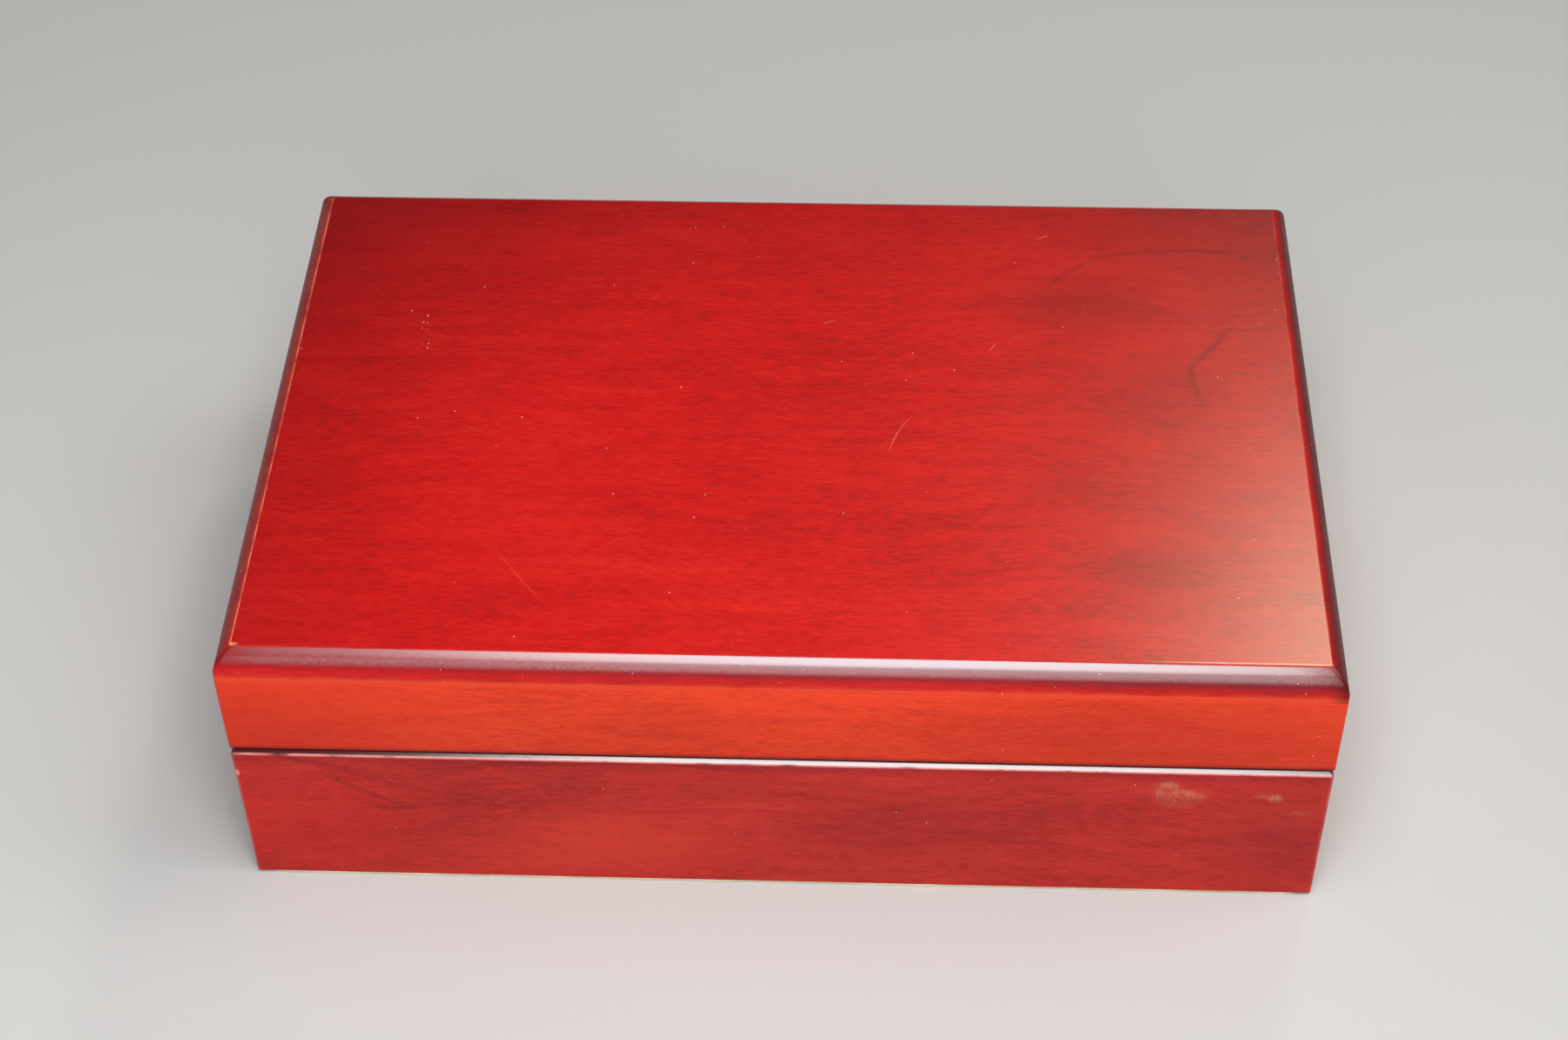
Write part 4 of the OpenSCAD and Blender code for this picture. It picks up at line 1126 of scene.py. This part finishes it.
def wallOutline(look):
    # depth behind the outer face and height of a base wall: rabbet at the foot, chamfer at the seam
    rabbet = panelLow.y - wallLow.y
    corners = [
        (0, wallLow.z), (rabbet, wallLow.z), (rabbet, panelHigh.z), (wallThick, panelHigh.z),
        (wallThick, wallHigh.z), (look["mortiseDepth"] + look["mortiseStep"], wallHigh.z),
        (look["mortiseDepth"] - look["mortiseStep"], wallHigh.z), (look["chamfer"], wallHigh.z),
        (0, wallHigh.z - look["chamferDrop"])]
    radii = [look["edge"], 0, 0, 0, look["edge"], 0, 0, look["edge"], look["chamferRound"]]
    loop, rim = roundedLoop(corners, radii, look["run"])
    depth, drop = loop[:, 0], np.abs(loop[:, 1] - wallHigh.z)
    # the dark seam down to the chamfer's foot: painted shade in the gap between lid and base, and a dark
    # stain on the chamfer
    stain = np.interp(drop, [look["chamferDrop"], look["chamferDrop"] + look["stainFade"]], [1, 0])
    gloss = np.where(depth < look["glossDepth"], stain, 0.0)
    # the rubbed colour along the chamfer's lower edge is a painted highlight
    rim = rim * ((depth < look["seamGlintDepth"]) & (drop < look["seamGlintDrop"]))
    floor = hingeAxis.z - look["leafGap"] - look["leafThick"]
    notched = loop.copy()
    notched[:, 1] = np.where(depth < look["mortiseDepth"], np.minimum(loop[:, 1], floor), loop[:, 1])
    return loop, notched, rim, stain, gloss


def railOutline(look):
    # depth and height of a lid rail, with the same chamfer at the seam, as deep as it is high
    corners = [
        (look["chamfer"], railLow.z), (look["mortiseDepth"] - look["mortiseStep"], railLow.z),
        (look["mortiseDepth"] + look["mortiseStep"], railLow.z), (wallThick, railLow.z),
        (wallThick, railHigh.z), (0, railHigh.z), (0, railLow.z + look["chamfer"])]
    radii = [look["edge"], 0, 0, look["edge"], 0, look["topEdge"], look["edge"]]
    loop, rim = roundedLoop(corners, radii, look["run"])
    depth, rise = loop[:, 0], np.abs(loop[:, 1] - railLow.z)
    # the dark lower edge: painted shade on the lid's chamfer and underside in the seam's gap
    stain = np.interp(rise, [look["chamfer"], look["chamfer"] + look["stainFade"]], [1, 0])
    rim = rim * (loop[:, 1] > railHigh.z - look["chamfer"])
    roof = hingeAxis.z + look["leafGap"] + look["leafThick"]
    notched = loop.copy()
    notched[:, 1] = np.where(depth < look["mortiseDepth"], np.maximum(loop[:, 1], roof), loop[:, 1])
    return loop, notched, rim, stain, np.zeros(len(loop))


def addBoards(look):
    # each outline is carried along its side; the back boards are let in for the hinges
    room = look["mortiseRoom"]
    spans = sorted((-high.x - room, -low.x + room) for low, high in leafSpans)
    for side, sideName in enumerate(sides):
        length = 2 * boxHalf[side % 2]
        reach = boxHalf[1 - side % 2]
        cut = "Side" if side % 2 else sideName.capitalize()
        for body, kind, slot, outline in (
                ("base", "wall", "cherry", wallOutline), ("lid", "rail", "cherry_lid", railOutline)):
            loop, notched, rim, stain, gloss = outline(look)
            places = look["sectionSpan"] / 2 * length * np.linspace(-1, 1, look["sections"])
            sections = [(x, loop) for x in places]
            if sideName == "back":
                sections = [section for low, high in spans for section in (
                    (low, loop), (low, notched), (high, notched), (high, loop))]
            rows, rims = boardRows(loop, rim, length, look["ease"], look["run"], sections, look["cornerWear"])
            if sideName == "front":
                gloss = gloss * np.interp(rows[..., 0], look["dullEnd"], [look["dullGloss"], 1])
            points = onSide(rows, side, reach)
            mesh = surfaceMesh(f"{body}_board_{sideName}", points, rim=rims, gloss=gloss, stain=stain)
            addPiece(mesh, body, f"cherry{body.capitalize()}{cut}", [f"{body}_{sideName}_{kind}"])


addBoards(boardLook)
print("cherry boards done")

# Bottom panel, and the felt under it

panelEase = 0.3 * mm
feltLook = {
    "corner": 6 * mm,  # rounding of its corners
    "flat": 3 * mm,  # inset of the rings on its faces
    "soft": 0.15 * mm,  # how far the edge draws in at the faces
    "shares": (0.0, 0.0, 0.25, 0.75, 1.0, 1.0),  # of its thickness, where the rings lie
    "stray": 0.28 * mm,  # how far the cut edge wanders
    "inward": 0.1,  # share of that by which it lies further in
    "quickest": 0.11,  # waves to a point, above which it is smooth
    "seed": 7,
    "sidePoints": 150,
}


def addFelt(look):
    # the cut edge wanders in and out by a smooth random amount along its way
    low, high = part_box("base_felt")
    inset = np.array([look["flat"], look["soft"], 0.0, 0.0, look["soft"], look["flat"]])
    height = low.z + (high.z - low.z) * np.array(look["shares"])
    rings = rectRings(boxHalf, inset, height, look["corner"], sidePoints=look["sidePoints"])
    count = rings.shape[1]
    draw = np.random.default_rng(look["seed"]).normal(size=count)
    calm = np.exp(-(np.fft.rfftfreq(count) / look["quickest"]) ** 2)
    smooth = np.fft.irfft(np.fft.rfft(draw) * calm, count)
    stray = look["stray"] * (smooth / np.abs(smooth).max() - look["inward"])
    outward = unit(rings[2, :, :2] / np.array(boxHalf))
    rings[1:5, :, :2] += stray[None, :, None] * outward  # all rings but those on the faces
    piece = addPiece(surfaceMesh("felt_sheet", rings), "base", "felt", ["base_felt"])


addSlab("bottom_panel", "base_bottom_panel", "base", "rawBoard", panelEase)
addFelt(feltLook)
print("bottom and felt done")

# Cedar lining

cedarLook = {
    "lipRoom": 0.5 * mm,  # the lip stands back from the rails
    "lipChamfer": 1.0 * mm,
    "edge": 0.3 * mm,
    "seatEdge": 0.15 * mm,  # the lid's lining where it meets the lip
    "ease": 0.05 * mm,
    "run": 0.4 * mm,
    "slabEase": 0.25 * mm,
    "ceilingCorner": 0.3 * mm,
    "ceilingPoints": 15,  # along each side
    "dividerEdge": 0.35 * mm,
}


def addLining(look):
    # the base's lining stands up past the walls as a chamfered lip, and the lid's is plain
    thick = linerHigh.y - linerLow.y
    edge = look["edge"]
    room = look["lipRoom"]
    baseCorners = [
        (0, linerLow.z), (thick, linerLow.z), (thick, linerHigh.z), (room + look["lipChamfer"], linerHigh.z),
        (room, linerHigh.z - look["lipChamfer"]), (room, wallHigh.z), (0, wallHigh.z)]
    lidCorners = [
        (0, lidLinerLow.z), (thick, lidLinerLow.z), (thick, lidLinerHigh.z), (0, lidLinerHigh.z)]
    outlines = {"base": roundedLoop(baseCorners, [0, 0, edge, edge, edge, 0, 0], look["run"]),
                "lid": roundedLoop(lidCorners, [look["seatEdge"], edge, 0, 0], look["run"])}
    for side, sideName in enumerate(sides):
        length = 2 * innerHalf[side % 2]
        reach = innerHalf[1 - side % 2]
        for body, (loop, rim) in outlines.items():
            rows, rims = boardRows(loop, rim, length, look["ease"], look["run"])
            mesh = surfaceMesh(f"cedar_{body}_{sideName}", onSide(rows, side, reach), rim=rims)
            grain = "cedarAcross" if side % 2 else "cedarAlong"
            addPiece(mesh, body, grain, [f"{body}_liner_{sideName}"])


def addCeiling(look):
    # a closed ring of rings: round the edge, over to the hygrometer's hole, down through it and back
    levels = [ceilingLow.z, ceilingHigh.z]
    rings = rectRings(innerHalf, 0.0, levels, look["ceilingCorner"], sidePoints=look["ceilingPoints"])
    hole = circleRings(rings[0], gauge, gaugeBore, levels[::-1])
    mesh = surfaceMesh("cedar_ceiling", np.concatenate([rings, hole]), closeRows=True)
    addPiece(mesh, "lid", "cedarAlong", ["lid_liner_ceiling"])


addLining(cedarLook)
addSlab("cedar_floor", "base_liner_floor", "base", "cedarAlong", cedarLook["slabEase"])
addCeiling(cedarLook)
softenedCopy("cedar_divider", "divider", "divider", "cedarAcross", cedarLook["dividerEdge"])
print("cedar lining done")

# Hinges

hingeLook = {
    "leafEdge": 0.12 * mm,
    "screwEdge": 0.05 * mm,
    "pinEdge": 0.15 * mm,
    "pinSteps": 4,  # rings on each rounded end
    "pinSides": 40,
}


def addPin(name, node, look):
    # a rod along x with rounded ends: radius and length carried round the pin's axis
    low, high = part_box(node)
    arc = look["pinEdge"]
    straight = (high.z - low.z) / 2 - arc
    turn = np.linspace(0, np.pi / 2, look["pinSteps"])
    radius = np.concatenate([[0.0], straight + arc * np.sin(turn), straight + arc * np.cos(turn), [0.0]])
    along = np.concatenate([
        [low.x], low.x + arc * (1 - np.cos(turn)), high.x - arc * (1 - np.sin(turn)), [high.x]])
    rings = latheRings(np.column_stack([radius, along]), (0.0, 0.0), look["pinSides"])
    points = np.stack([rings[..., 2], hingeAxis.y + rings[..., 0], hingeAxis.z + rings[..., 1]], axis=-1)
    addPiece(surfaceMesh(name, points, caps=False), "base", "steel", [node])


for end in ("left", "right"):
    for body in ("base", "lid"):
        softenedCopy(
            f"{body}_leaf_{end}", f"hinge_{body}_leaf_{end}", body, "brass", hingeLook["leafEdge"])
    addPin("pin_" + end, "hinge_pin_" + end, hingeLook)
for body in ("base", "lid"):
    softenedCopy(f"{body}_screws", f"hinge_{body}_screws", body, "brass", hingeLook["screwEdge"])
print("hinges done")

# Hygrometer: its dial faces down, so it reads the right way up when the lid stands open

gaugeLook = {
    "start": 225,  # degrees of the scale's zero, seen with the lid open
    "sweep": 270,  # degrees from 0 to 100
    "tickStep": 2,  # percent
    "tickOuter": 15.6 * mm,
    "tickLong": 2.4 * mm,  # at the tens
    "tickShort": 1.3 * mm,
    "tickWidth": 0.22 * mm,
    "tenWidth": 0.33 * mm,
    "numbers": 11.0 * mm,  # radius that the numbers stand on
    "numberSize": 2.7 * mm,
    "percent": 6.82 * mm,  # radius that the percent sign stands on
    "percentAngle": 270,  # degrees
    "percentSize": 3.51 * mm,
    "comfort": (65, 72),  # part of the scale that suits cigars
    "comfortRadii": (12.9 * mm, 13.15 * mm),
    "comfortSteps": 25,
    "ink": 0.02 * mm,  # thickness of the print
    "window": 16.9 * mm,  # radius of the bezel's opening
    "lip": 0.8 * mm,
    "bezelRound": 1.6 * mm,
    "bezelEdges": (0.3 * mm, 0.1 * mm, 0.15 * mm),  # at the window, the lid and the lens
    "bezelRun": 0.3 * mm,
    "bezelSides": 128,
    "lensDome": 0.12 * mm,
    "lensSteps": 9,
    "dialRadius": 17.55 * mm,
    "dialHole": 0.9 * mm,
    "dialEdge": 0.05 * mm,
    "dialRun": 0.1 * mm,
    "softEdges": {"needle": 0.05 * mm, "case": 0.1 * mm, "coil": 0.03 * mm},
}


def scaleAngle(percent, look):
    # the scale runs clockwise from its start, by the whole sweep for a hundred percent
    return np.radians(look["start"] - look["sweep"] * np.asarray(percent, float) / 100)


def addBezel(look):
    # a ring that rounds over outside, with a lip over the lens
    outer = bezelHigh.x - gauge[0]
    seat = bezelLow.z + look["lip"]
    windowEdge, lidEdge, lensEdge = look["bezelEdges"]
    corners = [
        (look["window"], bezelLow.z), (outer, bezelLow.z), (outer, bezelHigh.z), (gaugeBore, bezelHigh.z),
        (gaugeBore, seat), (look["window"], seat)]
    radii = [windowEdge, look["bezelRound"], lidEdge, 0, 0, lensEdge]
    loop = roundedLoop(corners, radii, look["bezelRun"], steps=9)[0]
    mesh = surfaceMesh("bezel", latheRings(loop, gauge, look["bezelSides"]), closeRows=True)
    addPiece(mesh, "lid", "brass", ["hygrometer_bezel"])


def addLens(look):
    # a slightly domed disc: its lower face falls by the dome towards the middle
    low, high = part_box("hygrometer_lens")
    radius = high.x - gauge[0]
    share = np.linspace(0, 1, look["lensSteps"])
    lower = np.column_stack([radius * share, low.z + look["lensDome"] * share ** 2])
    upper = np.column_stack([radius * share[::-1], np.full(len(share), high.z)])
    mesh = surfaceMesh("lens", latheRings(np.vstack([lower, upper]), gauge), caps=False)
    addPiece(mesh, "lid", "lensGlass", ["hygrometer_lens"])


def addDial(look):
    # a thin washer; its lower face carries the print
    low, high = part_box("hygrometer_dial")
    inner, outer = look["dialHole"], look["dialRadius"]
    corners = [(inner, low.z), (outer, low.z), (outer, high.z), (inner, high.z)]
    loop = roundedLoop(corners, [look["dialEdge"]] * 4, look["dialRun"], steps=3)[0]
    mesh = surfaceMesh("dial_plate", latheRings(loop, gauge), closeRows=True)
    addPiece(mesh, "lid", "dialWhite", ["hygrometer_dial"])
    return low.z


def addTicks(look, face):
    # thin blocks that run inwards from the outer radius, long and wide at the tens
    percent = np.arange(0, 101, look["tickStep"])
    tens = percent % 10 == 0
    angle = scaleAngle(percent, look)
    outward = np.stack([np.cos(angle), -np.sin(angle)], axis=-1)
    sideways = np.stack([-outward[:, 1], outward[:, 0]], axis=-1)
    far = outward * look["tickOuter"]
    near = far - outward * np.where(tens, look["tickLong"], look["tickShort"])[:, None]
    shift = sideways * np.where(tens, look["tenWidth"], look["tickWidth"])[:, None] / 2
    plan = np.stack([near - shift, far - shift, far + shift, near + shift], axis=1) + np.array(gauge)
    spots = np.empty((len(percent), 2, 4, 3))
    spots[..., :2] = plan[:, None]
    spots[..., 2] = np.array([face, face - look["ink"]])[None, :, None]
    block = np.array([
        (0, 1, 2, 3), (4, 5, 6, 7), (0, 1, 5, 4), (1, 2, 6, 5), (2, 3, 7, 6), (3, 0, 4, 7)])
    faces = (np.arange(len(percent))[:, None, None] * 8 + block).reshape(-1, 4)
    mesh = bpy.data.meshes.new("dial_ticks")
    mesh.from_pydata(spots.reshape(-1, 3).tolist(), [], faces.tolist())
    addPiece(mesh, "lid", "dialInk")


def addComfortArc(look, face):
    # a flat band between two radii, along part of the scale
    angle = scaleAngle(np.linspace(*look["comfort"], look["comfortSteps"]), look)
    inner, outer = look["comfortRadii"]
    radius = np.array([inner, outer, outer, inner])
    level = np.array([face, face, face - look["ink"], face - look["ink"]])
    x = gauge[0] + radius * np.cos(angle)[:, None]
    y = gauge[1] - radius * np.sin(angle)[:, None]
    points = np.stack([x, y, np.broadcast_to(level, x.shape)], axis=-1)
    addPiece(surfaceMesh("dial_comfort_band", points), "lid", "comfortGreen")


def wordMesh(word, size, thick):
    # a word as a thin plate, centred on its own middle
    curve = bpy.data.curves.new("word", "FONT")
    curve.body = word
    curve.size = size
    curve.extrude = thick / 2
    curve.align_x = "CENTER"
    curve.align_y = "CENTER"
    curve.resolution_u = 4
    holder = bpy.data.objects.new("word", curve)
    scene.collection.objects.link(holder)
    bpy.context.view_layer.update()
    mesh = bpy.data.meshes.new_from_object(holder.evaluated_get(bpy.context.evaluated_depsgraph_get()))
    bpy.data.objects.remove(holder)
    return mesh


def addNumbers(look, face):
    # the tens along the scale and a plain percent sign, upright as seen from below
    words = [(str(ten), float(scaleAngle(ten, look)), look["numbers"], look["numberSize"])
             for ten in range(0, 101, 10)]
    words.append(("%", math.radians(look["percentAngle"]), look["percent"], look["percentSize"]))
    joined = bmesh.new()
    for word, angle, radius, size in words:
        mesh = wordMesh(word, size, look["ink"])
        x = gauge[0] + radius * math.cos(angle)
        y = gauge[1] - radius * math.sin(angle)
        spot = Matrix.Translation((x, y, face - look["ink"] / 2))
        mesh.transform(spot @ Matrix.Rotation(math.pi, 4, "X"))
        joined.from_mesh(mesh)
    mesh = bpy.data.meshes.new("dial_numbers")
    joined.to_mesh(mesh)
    joined.free()
    addPiece(mesh, "lid", "dialInk")


addBezel(gaugeLook)
addLens(gaugeLook)
dialFace = addDial(gaugeLook)
addTicks(gaugeLook, dialFace)
addComfortArc(gaugeLook, dialFace)
addNumbers(gaugeLook, dialFace)
softEdges = gaugeLook["softEdges"]
softenedCopy("needle", "hygrometer_pointer", "pointer", "pointerBlack", softEdges["needle"])
softenedCopy("gauge_case", "hygrometer_case", "lid", "brass", softEdges["case"])
softenedCopy("sensing_coil", "hygrometer_coil", "lid", "copper", softEdges["coil"])
print("hygrometer done")

# Humidifier

humidifierLook = {
    "caseEdge": 0.4 * mm,
    "grilleEdge": 0.25 * mm,
    "plateEdge": 0.15 * mm,
    "foamEase": 0.8 * mm,
    "foamCorner": 2.3 * mm,
}


def addHumidifier(look):
    # its solids with their edges softened, and a block of foam that fills the case
    for name, node, body, slot, finishName, edge in (
            ("humidifier_shell", "case", "humidifier", "black_plastic", "blackPlastic", "caseEdge"),
            ("slotted_grille", "grille", "humidifier", "black_plastic", "blackPlastic", "grilleEdge"),
            ("magnet_pair", "magnets", "humidifier", "steel", "steel", "plateEdge"),
            ("keeper_plate", "keeper", "lid", "steel", "steel", "plateEdge")):
        softenedCopy(name, "humidifier_" + node, body, finishName, look[edge])
    foam = addSlab("foam_block", "humidifier_foam", "humidifier", "foam",
                   look["foamEase"], look["foamCorner"], flat=4, steps=6)


addHumidifier(humidifierLook)
print("humidifier done")

floorLook = {"half": 5.0, "color": (0.55, 0.55, 0.54, 1.0), "shade": 0.97, "cells": 3.0, "roughness": 0.85}


def addFloor(look):
    # a flat square of plain matt paper
    material, tree, place = newMaterial("floorPaper")
    darker = (*[look["shade"] * part for part in look["color"][:3]], 1.0)
    color = mixColor(tree, noise(tree, place, look["cells"], 2.0), look["color"], darker)
    finishMaterial(material, {"Base Color": color, "Roughness": look["roughness"]})
    corners = np.array([(-1, -1, 0), (1, -1, 0), (1, 1, 0), (-1, 1, 0)]) * look["half"]
    mesh = bpy.data.meshes.new("floor")
    mesh.from_pydata(corners.tolist(), [], [(0, 1, 2, 3)])
    mesh.materials.append(material)
    floor = bpy.data.objects.new("floor", mesh)
    scene.collection.objects.link(floor)


addFloor(floorLook)
